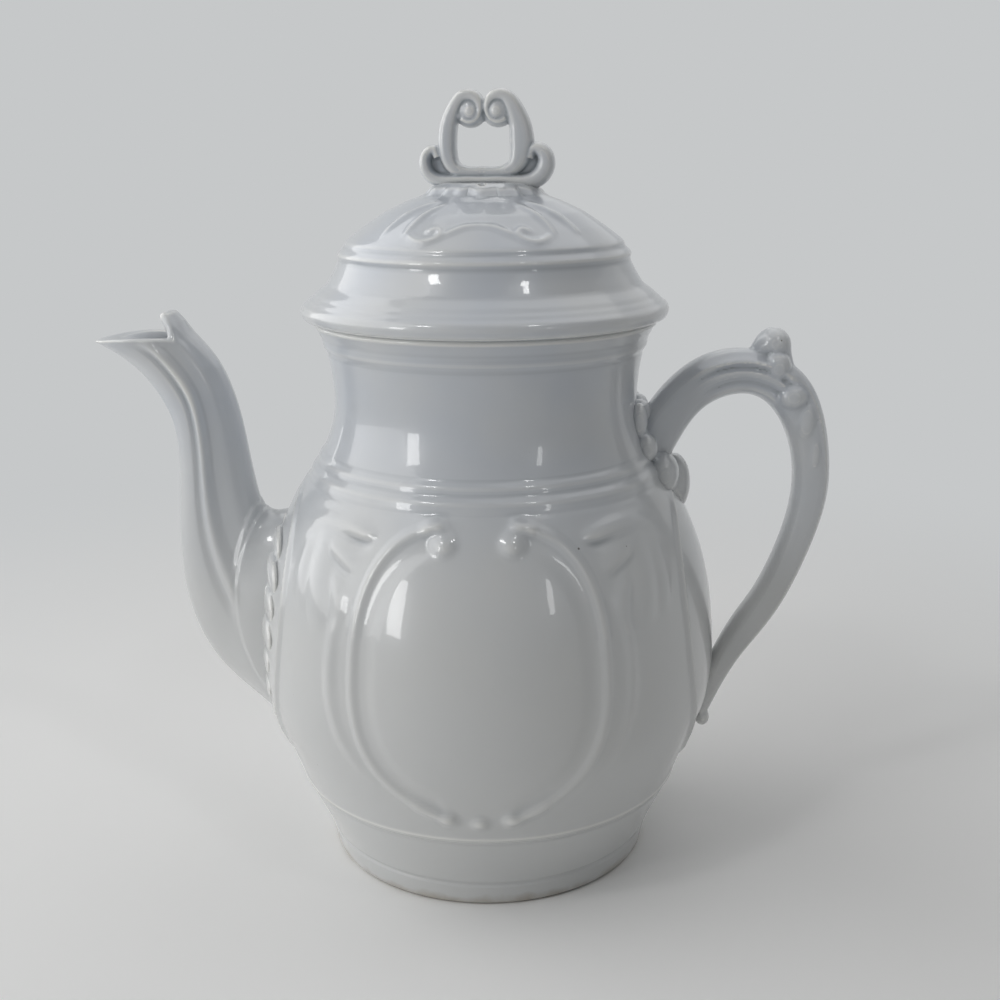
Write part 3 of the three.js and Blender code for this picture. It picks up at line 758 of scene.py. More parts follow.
def new_material(name: str) -> tuple[Material, Tree]:
    """Start a material with an empty node tree.

    Args:
        name: The material's name.

    Returns:
        The material and its tree.
    """
    material = bpy.data.materials.new(name)
    material.use_nodes = True
    material.node_tree.nodes.clear()
    return material, material.node_tree


@dataclass(frozen=True)
class IronstoneGlaze:
    """Clear lead glaze, faintly blued, over dipped white ironstone.

    It breaks thin and whiter on edges, pools blue-grey in hollows, where its darker colour is also painted
    shade, shows a soft orange-peel in its reflections, carries a few iron specks from the kiln, and is
    darkened at the foot by a stain with a painted contact shadow.
    """

    white: str = "#cfd0cf"
    edge: str = "#e7e7e4"
    # painted shade: hollows take this darker blue-grey, partly real glaze pooling and partly shade
    pooled_and_shaded: str = "#a0a6ab"
    cloud: str = "#c1c6cd"
    speck: str = "#4a4139"
    # real stain at the foot, together with a painted contact shadow
    stain_and_shadow: str = "#a39a8c"
    roughness: float = 0.28
    coat: float = 0.75
    coat_roughness: float = 0.035
    refraction: float = 1.52
    cloud_size: float = 38.0      # millimetres across one cloud of thicker glaze
    cloud_rise: tuple[float, float] = (85.0, 150.0)     # the clouds grow stronger between these heights
    cloud_least: float = 0.12
    peel_size: float = 5.0        # millimetres from crest to crest of the orange-peel
    peel_height: float = 0.05
    speck_pitch: float = 7.0      # millimetres between the cells that may hold a speck
    speck_radius: float = 0.4
    speck_free: float = 0.62      # share of the cells without a speck
    stain_and_shadow_height: float = 3.2     # the worn foot is stained, with a painted contact shadow, up to here
    stain_and_shadow_patch: float = 9.0      # millimetres across a patch of the stain and painted shadow

    def material(self) -> Material:
        """Build the glaze.

        Returns:
            The material; it reads Object coordinates and the mesh's own attribute "hollow".
        """
        material, tree = new_material("blued_ironstone_glaze")
        node = partial(add_node, tree)
        place = node("ShaderNodeTexCoord").outputs["Object"]
        cloud = node("ShaderNodeTexNoise", {"Scale": 1 / (self.cloud_size * MM), "Detail": 2.0},
                     {"Vector": place})
        low, high = self.cloud_rise
        rise = node("ShaderNodeSeparateXYZ", links={0: place})
        thick = node("ShaderNodeMapRange", {
            "From Min": low * MM, "From Max": high * MM, "To Min": self.cloud_least, "To Max": 1.0},
            {"Value": rise.outputs["Z"]})
        cloudy = node("ShaderNodeMapRange", {"From Min": 0.3, "From Max": 0.6, "To Min": 0.25},
                      {"Value": cloud})
        blued = node("ShaderNodeMath", {"operation": "MULTIPLY"}, {0: thick, 1: cloudy})
        hollow = node("ShaderNodeAttribute", {"attribute_name": "hollow"}).outputs["Fac"]
        # glaze pooled in hollows, darkened further there as painted shade
        deep = node("ShaderNodeMapRange", {"From Min": 0.08, "From Max": 0.9}, {"Value": hollow})
        thin = node("ShaderNodeMapRange", {"From Min": -0.12, "From Max": -0.9}, {"Value": hollow})
        layers = ((blued, self.cloud), (deep, self.pooled_and_shaded), (thin, self.edge),
                  (self.specks(tree, place), self.speck), (self.foot_stain_and_shadow(tree, place), self.stain_and_shadow))
        under = {}
        for share, code in layers:
            mixed = node("ShaderNodeMix", {"data_type": "RGBA", 6: colour(self.white), 7: colour(code)},
                         {0: share, **under})
            under = {6: mixed.outputs[2]}
        peel = node("ShaderNodeTexNoise", {"Scale": 1 / (self.peel_size * MM), "Detail": 1.0},
                    {"Vector": place})
        waves = node("ShaderNodeBump", {"Strength": 0.5, "Distance": self.peel_height * MM},
                     {"Height": peel})
        shader = node("ShaderNodeBsdfPrincipled", {
            "Roughness": self.roughness, "IOR": self.refraction, "Coat Weight": self.coat,
            "Coat Roughness": self.coat_roughness, "Coat IOR": self.refraction,
        }, {"Base Color": mixed.outputs[2], "Normal": waves, "Coat Normal": waves})
        node("ShaderNodeOutputMaterial", links={"Surface": shader})
        return material

    def specks(self, tree: Tree, place: Socket) -> Node:
        """Scatter iron specks.

        Args:
            tree: The material's tree.
            place: The surface place.

        Returns:
            The node that gives the specks' strength.
        """
        node = partial(add_node, tree)
        cells = node("ShaderNodeTexVoronoi", {"Scale": 1 / (self.speck_pitch * MM)}, {"Vector": place})
        chance = node("ShaderNodeSeparateColor", links={0: cells.outputs["Color"]})
        size = node("ShaderNodeMapRange", {
            "From Min": self.speck_free, "From Max": 1.0, "To Min": 0.0,
            "To Max": self.speck_radius / self.speck_pitch}, {"Value": chance})
        inside = node("ShaderNodeMath", {"operation": "SUBTRACT"}, {0: size, 1: cells.outputs["Distance"]})
        return node("ShaderNodeMapRange", {"From Min": 0.0, "From Max": 0.012, "To Max": 0.85},
                    {"Value": inside})

    def foot_stain_and_shadow(self, tree: Tree, place: Socket) -> Node:
        """Stain the worn lowest edge of the foot and paint its contact shadow there.

        Args:
            tree: The material's tree.
            place: The surface place.

        Returns:
            The node that gives the strength of the stain and painted shadow.
        """
        node = partial(add_node, tree)
        split = node("ShaderNodeSeparateXYZ", links={0: place})
        patch = node("ShaderNodeTexNoise", {"Scale": 1 / (self.stain_and_shadow_patch * MM), "Detail": 3.0},
                     {"Vector": place})
        # painted contact shadow and stain: darker towards the bottom of the foot
        edge = node("ShaderNodeMath", {"operation": "MULTIPLY", 1: self.stain_and_shadow_height * MM * 2}, {0: patch})
        below = node("ShaderNodeMath", {"operation": "SUBTRACT"}, {0: edge, 1: split.outputs["Z"]})
        return node("ShaderNodeMapRange", {
            "From Min": 0.0, "From Max": self.stain_and_shadow_height * MM, "To Max": 0.8}, {"Value": below})


@dataclass(frozen=True)
class BareIronstone:
    """Unglazed fired clay of the foot ring, wiped before firing: dry, chalky and grey with use."""

    clay: str = "#b9b1a2"
    worn: str = "#8f8778"
    roughness: float = 0.75
    grain: float = 1.1            # millimetres across a grain of wear
    grain_height: float = 0.1

    def material(self) -> Material:
        """Build the bare clay.

        Returns:
            The material; it reads Object coordinates.
        """
        material, tree = new_material("bare_ironstone_foot")
        node = partial(add_node, tree)
        place = node("ShaderNodeTexCoord").outputs["Object"]
        wear = node("ShaderNodeTexNoise", {"Scale": 1 / (self.grain * MM), "Detail": 4.0}, {"Vector": place})
        mixed = node("ShaderNodeMix", {"data_type": "RGBA", 6: colour(self.clay), 7: colour(self.worn)},
                     {0: wear})
        rough = node("ShaderNodeBump", {"Strength": 0.4, "Distance": self.grain_height * MM},
                     {"Height": wear})
        shader = node("ShaderNodeBsdfPrincipled", {"Roughness": self.roughness},
                      {"Base Color": mixed.outputs[2], "Normal": rough})
        node("ShaderNodeOutputMaterial", links={"Surface": shader})
        return material


def mark_hollows(obj: Object, rounds: int, reach: float) -> None:
    """Store how hollow the surface is at each point, which the glaze reads to pool in, and to darken hollows
    as painted shade.

    Args:
        obj: The piece.
        rounds: How often the surface is smoothed to find its hollows.
        reach: Radius in millimetres of a hollow that counts as full.
    """
    mesh = obj.data
    count = len(mesh.vertices)
    place = np.empty(count * 3)
    mesh.vertices.foreach_get("co", place)
    place = place.reshape(-1, 3)
    normal = np.empty(count * 3)
    mesh.vertex_normals.foreach_get("vector", normal)
    ends = np.empty(len(mesh.edges) * 2, dtype=np.int64)
    mesh.edges.foreach_get("vertices", ends)
    start, end = ends.reshape(-1, 2).T
    both, other = np.concatenate([start, end]), np.concatenate([end, start])
    shares = np.maximum(np.bincount(both, minlength=count), 1)
    pitch = np.bincount(both, ((place[both] - place[other]) ** 2).sum(axis=1), minlength=count) / shares
    smooth = place.copy()
    for _ in range(rounds):
        near = [np.bincount(both, smooth[other, k], minlength=count) / shares for k in range(3)]
        smooth = 0.4 * smooth + 0.6 * np.stack(near, axis=-1)
    sunk = np.einsum("ij,ij->i", smooth - place, normal.reshape(-1, 3))
    bend = sunk / np.maximum(0.3 * rounds * pitch, 1e-12)
    attribute = mesh.attributes.new("hollow", "FLOAT", "POINT")
    attribute.data.foreach_set("value", np.clip(bend * reach * MM, -1, 1).astype(np.float32))


@dataclass
class Finishes:
    """The materials every piece is dressed with."""

    glaze: Material
    bare: Material

    def dress(self, obj: Object, body: Body, nodes: Sequence[str], rounds: int = 8,
              reach: float = 2.0) -> None:
        """Glaze a piece and give it its place in the frame.

        Args:
            obj: The piece.
            body: The body that it rides on.
            nodes: The CAD nodes that it stands for.
            rounds: How often the surface is smoothed to find its hollows.
            reach: Radius in millimetres of a full hollow.
        """
        obj.data.materials.clear()
        obj.data.materials.append(self.glaze)
        obj.data.shade_smooth()
        mark_hollows(obj, rounds, reach)
        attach(obj, body.value)
        if nodes:
            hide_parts(*nodes)
        LOG.info("%s: %d faces on %s", obj.name, len(obj.data.polygons), body.value)


# The wall

FRONT_ORNAMENT = (
    # Upper end of the medallion's frame, with its ball
    Stroke(((14.4, 121.4), (11.6, 122.4), (9.0, 121.2)), (2.2, 2.2, 2.0), (1.1, 1.1, 0.9)),
    Stroke(((9.0, 117.8), (9.6, 117.6)), (3.9, 3.9), (1.9, 1.9), 1.0),
    # Lower end, and the small bead between the two ends
    Stroke(((16.0, 39.8), (11.6, 37.0), (9.0, 36.4)), (2.3, 2.1, 1.9), (1.0, 0.9, 0.8)),
    Stroke(((8.0, 36.0), (8.4, 36.0)), (2.8, 2.8), (2.6, 2.6), 0.9),
    Stroke(((-0.4, 34.6), (0.4, 34.6)), (2.3, 2.3), (2.0, 2.0), 0.9),
    # Crest over the medallion
    Stroke(((-7.5, 125.0), (0, 125.3), (7.5, 125.0)), (1.2, 1.5, 1.2), (0.2, 0.4, 0.2)),
    # Outer scroll beside the frame
    Stroke(((34.6, 101.0), (36.8, 92.0), (37.6, 82.0), (37.2, 71.0), (34.8, 60.5), (30.8, 51.6),
            (26.4, 45.6)),
           (1.4, 2.2, 2.7, 2.7, 2.5, 2.0, 1.4), (0.4, 0.8, 1.0, 1.0, 0.9, 0.6, 0.3)),
)

CORNER_LEAF = (
    # Lobes that stand up from the foot of the leaf
    Stroke(((36.4, 94.5), (36.6, 99.0), (38.6, 103.6)), (2.6, 3.4, 2.8), (0.5, 0.9, 0.6), 1.0),
    Stroke(((43.6, 93.0), (44.8, 99.0), (46.2, 107.0)), (4.8, 6.0, 4.8), (0.6, 1.2, 0.8), 1.0),
    Stroke(((51.6, 95.6), (52.8, 101.0), (53.8, 108.0)), (3.8, 4.6, 3.8), (0.5, 0.9, 0.6), 1.0),
    # Leaf body under the turned-over tip
    Stroke(((36.0, 109.8), (41.0, 112.0), (47.0, 113.0)), (3.4, 4.0, 3.8), (0.6, 0.8, 0.6), 1.0),
    # Turned-over tip, rolled at its end
    Stroke(((56.0, 117.0), (49.0, 118.6), (42.0, 119.2), (35.6, 118.8), (31.0, 117.6)),
           (2.0, 3.0, 3.2, 3.0, 2.4), (0.4, 0.8, 1.0, 1.2, 0.9), 1.0),
)

CORNER_HOLLOWS = (
    Stroke(((29.6, 116.2), (32.4, 115.2), (35.6, 115.3), (38.6, 116.0)), (0.9, 1.5, 1.5, 0.9),
           (-0.7, -1.5, -1.3, -0.4), 0.9),
    Stroke(((34.0, 105.6), (37.4, 107.2), (41.2, 109.0), (44.0, 111.4), (44.6, 114.0)),
           (1.3, 1.9, 2.0, 1.8, 1.2), (-0.3, -0.6, -0.7, -0.6, -0.3), 1.0),
)


@dataclass
class WallForm:
    """The moulded wall as a radius over angle and height; other pieces take their seats from it."""

    stations: Points = (
        (0, 51.2), (8.7, 53.1), (17, 56.6), (27.4, 61.5), (39.2, 65.9), (50, 69.9), (62, 71.6),
        (74, 71.3), (87, 69.9), (100.2, 66.9), (112.2, 62.4), (122, 57.6), (133, 50.9),
        (140, 48.2), (147, 47.0), (155, 47.4), (164.2, 49.0), (172.8, 52.8))
    softness: float = 2.0
    step: float = 0.25            # between the places of the tabulated profile
    rings: tuple[float, float] = (127.5, 131.4)
    ring_height: float = 0.55
    ring_half_width: float = 2.1
    lines: tuple[float, ...] = (165.3, 27.4)
    line_height: float = 0.4
    line_half_width: float = 1.3
    grooves: tuple[float, ...] = (163.1, 168.2, 124.6)
    groove_depth: float = 0.22
    panel_centre: float = 87.0
    panel_top: float = 124.0
    panel_foot: float = 29.0
    panel_half_angle: float = 29.8
    panel_spread: float = 1.25    # the bulge reaches this share of the panel's half-width
    panel_bulge: float = 1.5
    panel_ridge: float = 1.05
    panel_ridge_half_width: float = 1.8
    medallion_centre: float = 79.0
    medallion_half_height: float = 43.5
    medallion_half_angle: float = 30.7
    medallion_squareness: tuple[float, float] = (3.2, 2.25)
    dome: float = 1.9
    dome_powers: tuple[float, float] = (2.4, 1.5)   # how it falls off towards the frame
    frame_half_width: float = 2.6
    frame_height: float = 0.85
    frame_groove: float = 0.38
    frame_groove_offset: float = 4.8
    frame_groove_half_width: float = 4.0
    wear: float = 1.4             # reach of the mould's wear in cells of the wall's grid
    frame_gap: tuple[float, float] = (8.0, 11.5)    # degrees from the front where the frame begins
    thickness: float = 4.4
    heights: np.ndarray = field(init=False)
    radii: np.ndarray = field(init=False)
    lengths: np.ndarray = field(init=False)

    def __post_init__(self) -> None:
        """Tabulate the turned profile and its length."""
        places, radii = np.asarray(self.stations, float).T
        self.heights = np.arange(places[0], places[-1] + self.step, self.step)
        cells = self.softness / self.step
        self.radii = softened(smooth_curve(places, radii)(self.heights), cells, int(4 * cells))
        self.lengths = measure(np.stack([self.radii, self.heights], axis=-1))

    def turned(self, z: np.ndarray) -> np.ndarray:
        """Radius of the plain turned wall."""
        return np.interp(z, self.heights, self.radii)

    def along(self, z: np.ndarray) -> np.ndarray:
        """Distance up the wall's profile."""
        return np.interp(z, self.heights, self.lengths)

    def unroll(self, angle: np.ndarray, z: np.ndarray) -> np.ndarray:
        """Lay a place on the wall flat, as (across, along)."""
        return np.stack([angle * self.turned(z), self.along(z)], axis=-1)

    def ring_relief(self, z: np.ndarray) -> np.ndarray:
        """Relief of the rings, fine lines and grooves that run all round.

        Args:
            z: Heights.

        Returns:
            The relief in millimetres.
        """
        turned = ((self.rings, self.ring_height, self.ring_half_width),
                  (self.lines, self.line_height, self.line_half_width),
                  (self.grooves, -self.groove_depth, self.line_half_width))
        return sum(height * bump(z - place, half_width)
                   for places, height, half_width in turned for place in places)

    def panel_share(self, z: np.ndarray) -> np.ndarray:
        """Fullness of the pointed side panel.

        Args:
            z: Heights.

        Returns:
            1 in its middle, 0 at its tips.
        """
        over = self.panel_top - self.panel_centre
        under = self.panel_centre - self.panel_foot
        rise = (z - self.panel_centre) / np.where(z > self.panel_centre, over, under)
        return np.sqrt(np.clip(1 - rise ** 2, 0, 1))

    def bulge(self, front: np.ndarray, z: np.ndarray) -> np.ndarray:
        """Swelling of the side panels; front is the angle from the nearer of front and back."""
        share = self.panel_share(z)
        return self.panel_bulge * share * bump(
            math.pi / 2 - front, math.radians(self.panel_half_angle * self.panel_spread) * share)

    def relief(self, angle: np.ndarray, z: np.ndarray) -> np.ndarray:
        """Height of the moulded relief over the turned wall.

        Args:
            angle: Angles from the front, in radians.
            z: Heights.

        Returns:
            The relief in millimetres.
        """
        front = from_front(angle)
        radius = self.turned(z)
        share = self.panel_share(z)
        edge = math.radians(self.panel_half_angle) * share
        lean = np.hypot(1, np.gradient(edge.ravel(), z.ravel())[:, None] * radius)
        ridge = self.panel_ridge * np.minimum(1, share * 2) * (share > 0)
        offset = (math.pi / 2 - front - edge) * radius / lean
        relief = self.bulge(front, z) + ridge * bump(offset, self.panel_ridge_half_width)
        relief += self.medallion(front, z, radius)
        across, along = np.broadcast_arrays(front * radius, self.along(z))
        ornament = laid(FRONT_ORNAMENT + CORNER_LEAF, across, along, self.unroll)
        ornament += sum(stroke.relief(across, along, self.unroll) for stroke in CORNER_HOLLOWS)
        return relief + melted(ornament, self.wear)

    def medallion(self, front: np.ndarray, z: np.ndarray, radius: np.ndarray) -> np.ndarray:
        """Swelling, groove and frame of the two medallions.

        Args:
            front: Angles from the nearer of front and back, in radians.
            z: Heights.
            radius: Radii of the turned wall.

        Returns:
            Their relief in millimetres.
        """
        rise = np.abs(z - self.medallion_centre) / self.medallion_half_height
        across = front / math.radians(self.medallion_half_angle)
        power = np.where(z > self.medallion_centre, *self.medallion_squareness)
        size = (rise ** power + across ** power) ** (1 / power)
        bearing = np.arctan2(z - self.medallion_centre, front * radius)
        local = np.where(size > 0, np.hypot(
            math.radians(self.medallion_half_angle) * radius * np.cos(bearing),
            self.medallion_half_height * np.sin(bearing)), 1)
        outside = (size - 1) * local
        fall, swell = self.dome_powers
        relief = self.dome * np.clip(1 - size ** fall, 0, 1) ** swell
        held = smoothstep(np.degrees(front), *self.frame_gap)
        relief += held * self.frame_height * bump(outside, self.frame_half_width)
        groove = bump(outside + self.frame_groove_offset, self.frame_groove_half_width)
        return relief - held * self.frame_groove * groove

    def radius(self, angle: np.ndarray, z: np.ndarray) -> np.ndarray:
        """Outer radius of the finished wall."""
        return self.turned(z) + self.ring_relief(z) + self.relief(angle, z)

    def seat(self, side: float, y: np.ndarray, z: np.ndarray, lift: float) -> np.ndarray:
        """X of the wall at a place seen from the side.

        Args:
            side: 1 on the handle's side, -1 on the spout's.
            y: Distances from the middle plane.
            z: Heights.
            lift: How far over the wall's surface.

        Returns:
            The x places.
        """
        x = side * self.turned(z)
        for _ in range(5):
            radius = self.turned(z) + self.bulge(from_front(np.arctan2(x, -y)), z) + lift
            x = side * np.sqrt(np.maximum(1, radius ** 2 - y ** 2))
        return x


@dataclass
class SubAssembly:
    """A part of the teapot that takes its seat from the wall's form and is glazed with the rest."""

    form: WallForm
    finishes: Finishes

    def make(self) -> None:
        """Build the pieces and dress them."""
        self.dress(*self.build())


@dataclass
class Wall(SubAssembly):
    """The moulded wall of the pot: belly, shoulder, rings and neck."""

    foot: float = 27.4
    mouth: float = 172.8
    rows: Points = (
        (27.4, 32.5, 0.6), (32.5, 38.5, 0.75), (38.5, 90.0, 1.1), (90.0, 122.5, 0.66),
        (122.5, 134.0, 0.52), (134.0, 160.0, 2.0), (160.0, 170.8, 0.7))
    columns: Points = ((0, 56, 0.56), (56, 78, 0.8), (78, 90, 1.7))
    inner_pitch: float = 14.0
    rim_round: float = 2.0
    rim_turns: Sequence[float] = (22, 45, 68, 90, 120)      # degrees over the rim, from outside to inside
    hole_radius: float = 2.4
    hole_rings: tuple[tuple[float, int], ...] = ((0, 1), (9, 6))
    hole_height: float = 76.0
    punch: float = 24.0           # length of the punch

    def build(self) -> list[Object]:
        """Model the wall.

        Returns:
            The wall as one closed skin, pierced behind the spout.
        """
        quarter = np.radians(spaced(self.columns))
        half = np.concatenate([quarter, math.pi - quarter[-2::-1]])
        angle = np.concatenate([half, -half[-2:0:-1]])[None, :]
        z = spaced(self.rows)[:, None]
        outside = around(angle, self.form.radius(angle, z), z)
        turn = np.radians(self.rim_turns)[:, None]
        rim = around(angle, self.form.turned(self.mouth) - self.rim_round * (1 - np.cos(turn)),
                     self.mouth - self.rim_round * (1 - np.sin(turn)))
        down = np.arange(self.mouth - self.rim_round, self.foot, -self.inner_pitch)
        levels = np.concatenate([down, [self.foot]])[:, None]
        inside = around(angle, self.form.turned(levels) - self.form.thickness, levels)
        wall = skin("pot_wall", np.concatenate([outside, rim, inside]), loop=True)
        places = [(-self.form.turned(self.hole_height), reach * math.sin(way),
                   self.hole_height + reach * math.cos(way))
                  for reach, count in self.hole_rings
                  for way in np.arange(count) / count * 2 * math.pi]
        return [pierced(wall, places, self.hole_radius, self.punch, math.pi / 2, self.finishes.glaze)]

    def dress(self, wall: Object) -> None:
        """Glaze the wall."""
        self.finishes.dress(wall, Body.POT, ["pot_body", "pot_neck"])


@dataclass
class Base(SubAssembly):
    """The turned base with its foot ring, luted under the wall."""

    foot_radius: float = 51.2
    foot_round: float = 0.8       # the ring's outer edge is rounded this far in
    ring_width: float = 5.0
    recess: float = 3.2
    recess_slope: float = 2.0
    joint: float = 27.4
    rows: Points = ((0.9, 12, 0.4), (12, 24, 1.0), (24, 27.4, 0.35))
    floor_height: float = 9.6
    floor_reach: float = 37.2
    corner_height: float = 14.6
    corner_inset: float = 2.0
    # Lines turned into it: height, depth and half-width
    grooves: Points = ((7.8, 0.7, 1.3), (26.0, 0.35, 0.8))
    segments: int = 256
    bare_height: float = 0.25     # faces below this that look down are bare
    bare_slope: float = 0.8       # how nearly upright their normals are

    def build(self) -> list[Object]:
        """Turn the base on the lathe tree.

        Returns:
            The base.
        """
        ring_inner = self.foot_radius - self.ring_width
        underside = eased([(0, self.recess), (ring_inner - self.recess_slope, self.recess),
                           (ring_inner, 0.0), (self.foot_radius - self.foot_round, 0.0)], 1.2, 0.7)
        z = spaced(self.rows)
        line = self.form.line_height * bump(z - self.joint, self.form.line_half_width)
        radius = self.form.turned(z) + line
        radius -= sum(depth * bump(z - height, half_width) for height, depth, half_width in self.grooves)
        inner = self.form.turned(np.array([self.joint, self.corner_height])) - self.form.thickness
        inside = eased([(inner[0], self.joint), (inner[1] - self.corner_inset, self.corner_height),
                        (self.floor_reach, self.floor_height), (0, self.floor_height)], 1.5, 2.0)
        inside[-1], underside[0] = (0, self.floor_height), (0, self.recess)
        profile = np.concatenate([underside, np.stack([radius, z], axis=-1), inside])
        return [turned_piece("pot_base", profile, self.finishes.glaze, self.segments)]

    def dress(self, base: Object) -> None:
        """Glaze the base and bare the face of its foot ring."""
        self.finishes.dress(base, Body.POT, ["foot_base"])
        base.data.materials.append(self.finishes.bare)
        for face in base.data.polygons:
            if face.center.z < self.bare_height * MM and abs(face.normal.z) > self.bare_slope:
                face.material_index = 1


@dataclass
class Spout(SubAssembly):
    """The curved spout with its two side ribs and the edge of the leaf that wraps its root."""

    belly: float = 71.8
    under: Points = (
        (-4, 36), (6.5, 47.5), (17, 59.5), (24.9, 76.2), (27.6, 97.6),
        (26.4, 118.5), (26.2, 135.5), (29.2, 146.2), (37, 157.3), (50, 165.7))
    over: Points = (
        (-8, 111), (-1, 110.6), (1.6, 117.5), (3.2, 127.8), (4.8, 139),
        (6.9, 148.5), (10.2, 157.2), (14.2, 163.4), (18.8, 168.6), (24.4, 174.7))
    half_widths: Sequence[float] = (18, 15.6, 13, 11.6, 10.9, 10.6, 10.7, 11.1, 11.8, 12.4)
    wall: float = 2.9
    lip_rise: float = 1.3
    lip_round: float = 1.1
    lip_shares: Sequence[float] = (0.12, 0.3, 0.5, 0.7, 0.88)
    spur: tuple[float, float] = (122.0, 158.0)
    ribs: Points = (
        (92, 1.1, 10), (80, -0.7, 9), (128, 0.3, 16), (154, 0.3, 16),
        (27, 0.35, 14), (12, -0.2, 12))                     # degrees from underneath, height, spread
    rib_span: Sequence[float] = (0.15, 0.23, 0.88, 0.97)
    # The sunk back of the spout: its root as a share of the way up, the root's bend and where it
    # turns back, its two side edges in degrees from underneath, its depth and how soon it sinks
    tongue_start: float = 0.22
    tongue_bend: float = -0.05
    tongue_turn: tuple[float, float] = (112, 60)
    tongue_edge: tuple[float, float] = (98, 107)
    tongue_depth: float = 0.85
    tongue_fade: float = 0.03
    # Edge of the leaf that wraps the root: degrees from underneath, share of the way up
    leaf_edge: Points = ((52, 0.02), (80, 0.15), (98, 0.2), (112, 0.205), (130, 0.19), (180, 0.13))
    leaf_start: tuple[float, float] = (46, 56)      # the leaf rises between these degrees
    leaf_height: float = 0.55
    leaf_fade: float = 0.012
    sink: float = 1.2
    seated: float = 0.3           # the root leaves the wall's curve by this share of the way up
    rings: int = 150
    around: int = 144
    bore_rings: int = 44

    def turns(self) -> tuple[np.ndarray, np.ndarray]:
        """Angles round the spout in radians, and their distance from underneath in degrees."""
        turn = np.arange(self.around) / self.around * 2 * math.pi
        return turn, np.degrees(np.minimum(turn, 2 * math.pi - turn))

    def relief(self, t: np.ndarray) -> np.ndarray:
        """Work out the relief of the outer skin.

        Args:
            t: Shares of the way from root to lip, one a row.

        Returns:
            Heights as (ring, place in the ring).
        """
        from_under = self.turns()[1][None, :]
        ribs = sum(height * bump(from_under - place, spread) for place, height, spread in self.ribs)
        middle, spread = self.tongue_turn
        tongue = self.tongue_start + self.tongue_bend * ((from_under - middle) / spread) ** 2
        back = smoothstep(from_under, *self.tongue_edge) * smoothstep(t - tongue, 0, self.tongue_fade)
        back = back * (1 - smoothstep(t, *self.rib_span[2:]))
        edge = np.interp(from_under, *np.asarray(self.leaf_edge, float).T)
        leaf = smoothstep(from_under, *self.leaf_start)
        leaf = leaf * (1 - smoothstep(t - edge, -self.leaf_fade, self.leaf_fade))
        return ribs * window(t, self.rib_span) - self.tongue_depth * back + self.leaf_height * leaf

    def ring(self, t: np.ndarray, inset: float) -> np.ndarray:
        """Rings of points round the spout.

        Args:
            t: Shares of the way from root to lip.
            inset: How far inside the outer skin.

        Returns:
            Points as (ring, place in the ring, xyz).
        """
        low, high = (rail(side)(t) * (-1, 1) - (self.belly, 0) for side in (self.under, self.over))
        across = high - low
        across /= np.linalg.norm(across, axis=1, keepdims=True)
        for edge, sign in ((low, 1), (high, -1)):
            run = np.gradient(edge, axis=0)
            run /= np.maximum(np.linalg.norm(run, axis=1, keepdims=True), 1e-9)
            slant = np.maximum(0.4, np.abs(across[:, 0] * run[:, 1] - across[:, 1] * run[:, 0]))
            edge += sign * across * (inset / slant)[:, None]
        half = np.linalg.norm(high - low, axis=1)[:, None] / 2
        turn = self.turns()[0][None, :]
        relief = self.relief(t[:, None]) * (inset == 0)
        rings = np.zeros((len(t), self.around, 3))
        middle = ((low + high) / 2)[:, None]
        rings[:, :, ::2] = middle - across[:, None] * ((half + relief) * np.cos(turn))[:, :, None]
        rings[:, :, 1] = -(graded(self.half_widths)(t)[:, None] - inset + relief) * np.sin(turn)
        seat = self.form.seat(-1, rings[0, :, 1], rings[0, :, 2], -self.sink) - rings[0, :, 0]
        hold = (1 - smoothstep(t, 0, self.seated)) ** 1.5
        rings[:, :, 0] += hold[:, None] * seat[None, :]
        return rings

    def cut(self, count: int, inset: float) -> np.ndarray:
        """Cut the tube off level at the lip, but for the spur at its back.

        Args:
            count: Number of rings to return.
            inset: How far inside the outer skin.

        Returns:
            Points as (ring, place in the ring, xyz).
        """
        t = np.linspace(0, 1, 3 * self.rings)
        tube = self.ring(t, inset)
        turn, from_under = self.turns()
        level = self.under[-1][1] + self.lip_rise * np.sin(turn) ** 2
        level = level + smoothstep(from_under, *self.spur) * (tube[-1, :, 2] - level)
        rings = np.zeros((count, self.around, 3))
        for j in range(self.around):
            last = float(np.interp(level[j], np.maximum.accumulate(tube[:, j, 2]), t))
            places = np.linspace(0, last, count)
            for axis in range(3):
                rings[:, j, axis] = np.interp(places, t, tube[:, j, axis])
        return rings

    def build(self) -> list[Object]:
        """Model the spout.

        Returns:
            The spout as one skin, outside and bore, with a rounded lip.
        """
        outer = self.cut(self.rings, 0)
        bore = self.cut(self.bore_rings, self.wall)[::-1]
        outwards = outer[-1] - outer[-3]
        outwards /= np.linalg.norm(outwards, axis=1, keepdims=True)
        lip = [outer[-1] * (1 - s) + bore[0] * s + outwards * self.lip_round * math.sin(math.pi * s) ** 0.7
               for s in self.lip_shares]
        return [skin("spout_horn", np.concatenate([outer, lip, bore]), loop=True)]

    def dress(self, horn: Object) -> None:
        """Glaze the spout."""
        self.finishes.dress(horn, Body.POT, ["spout"])


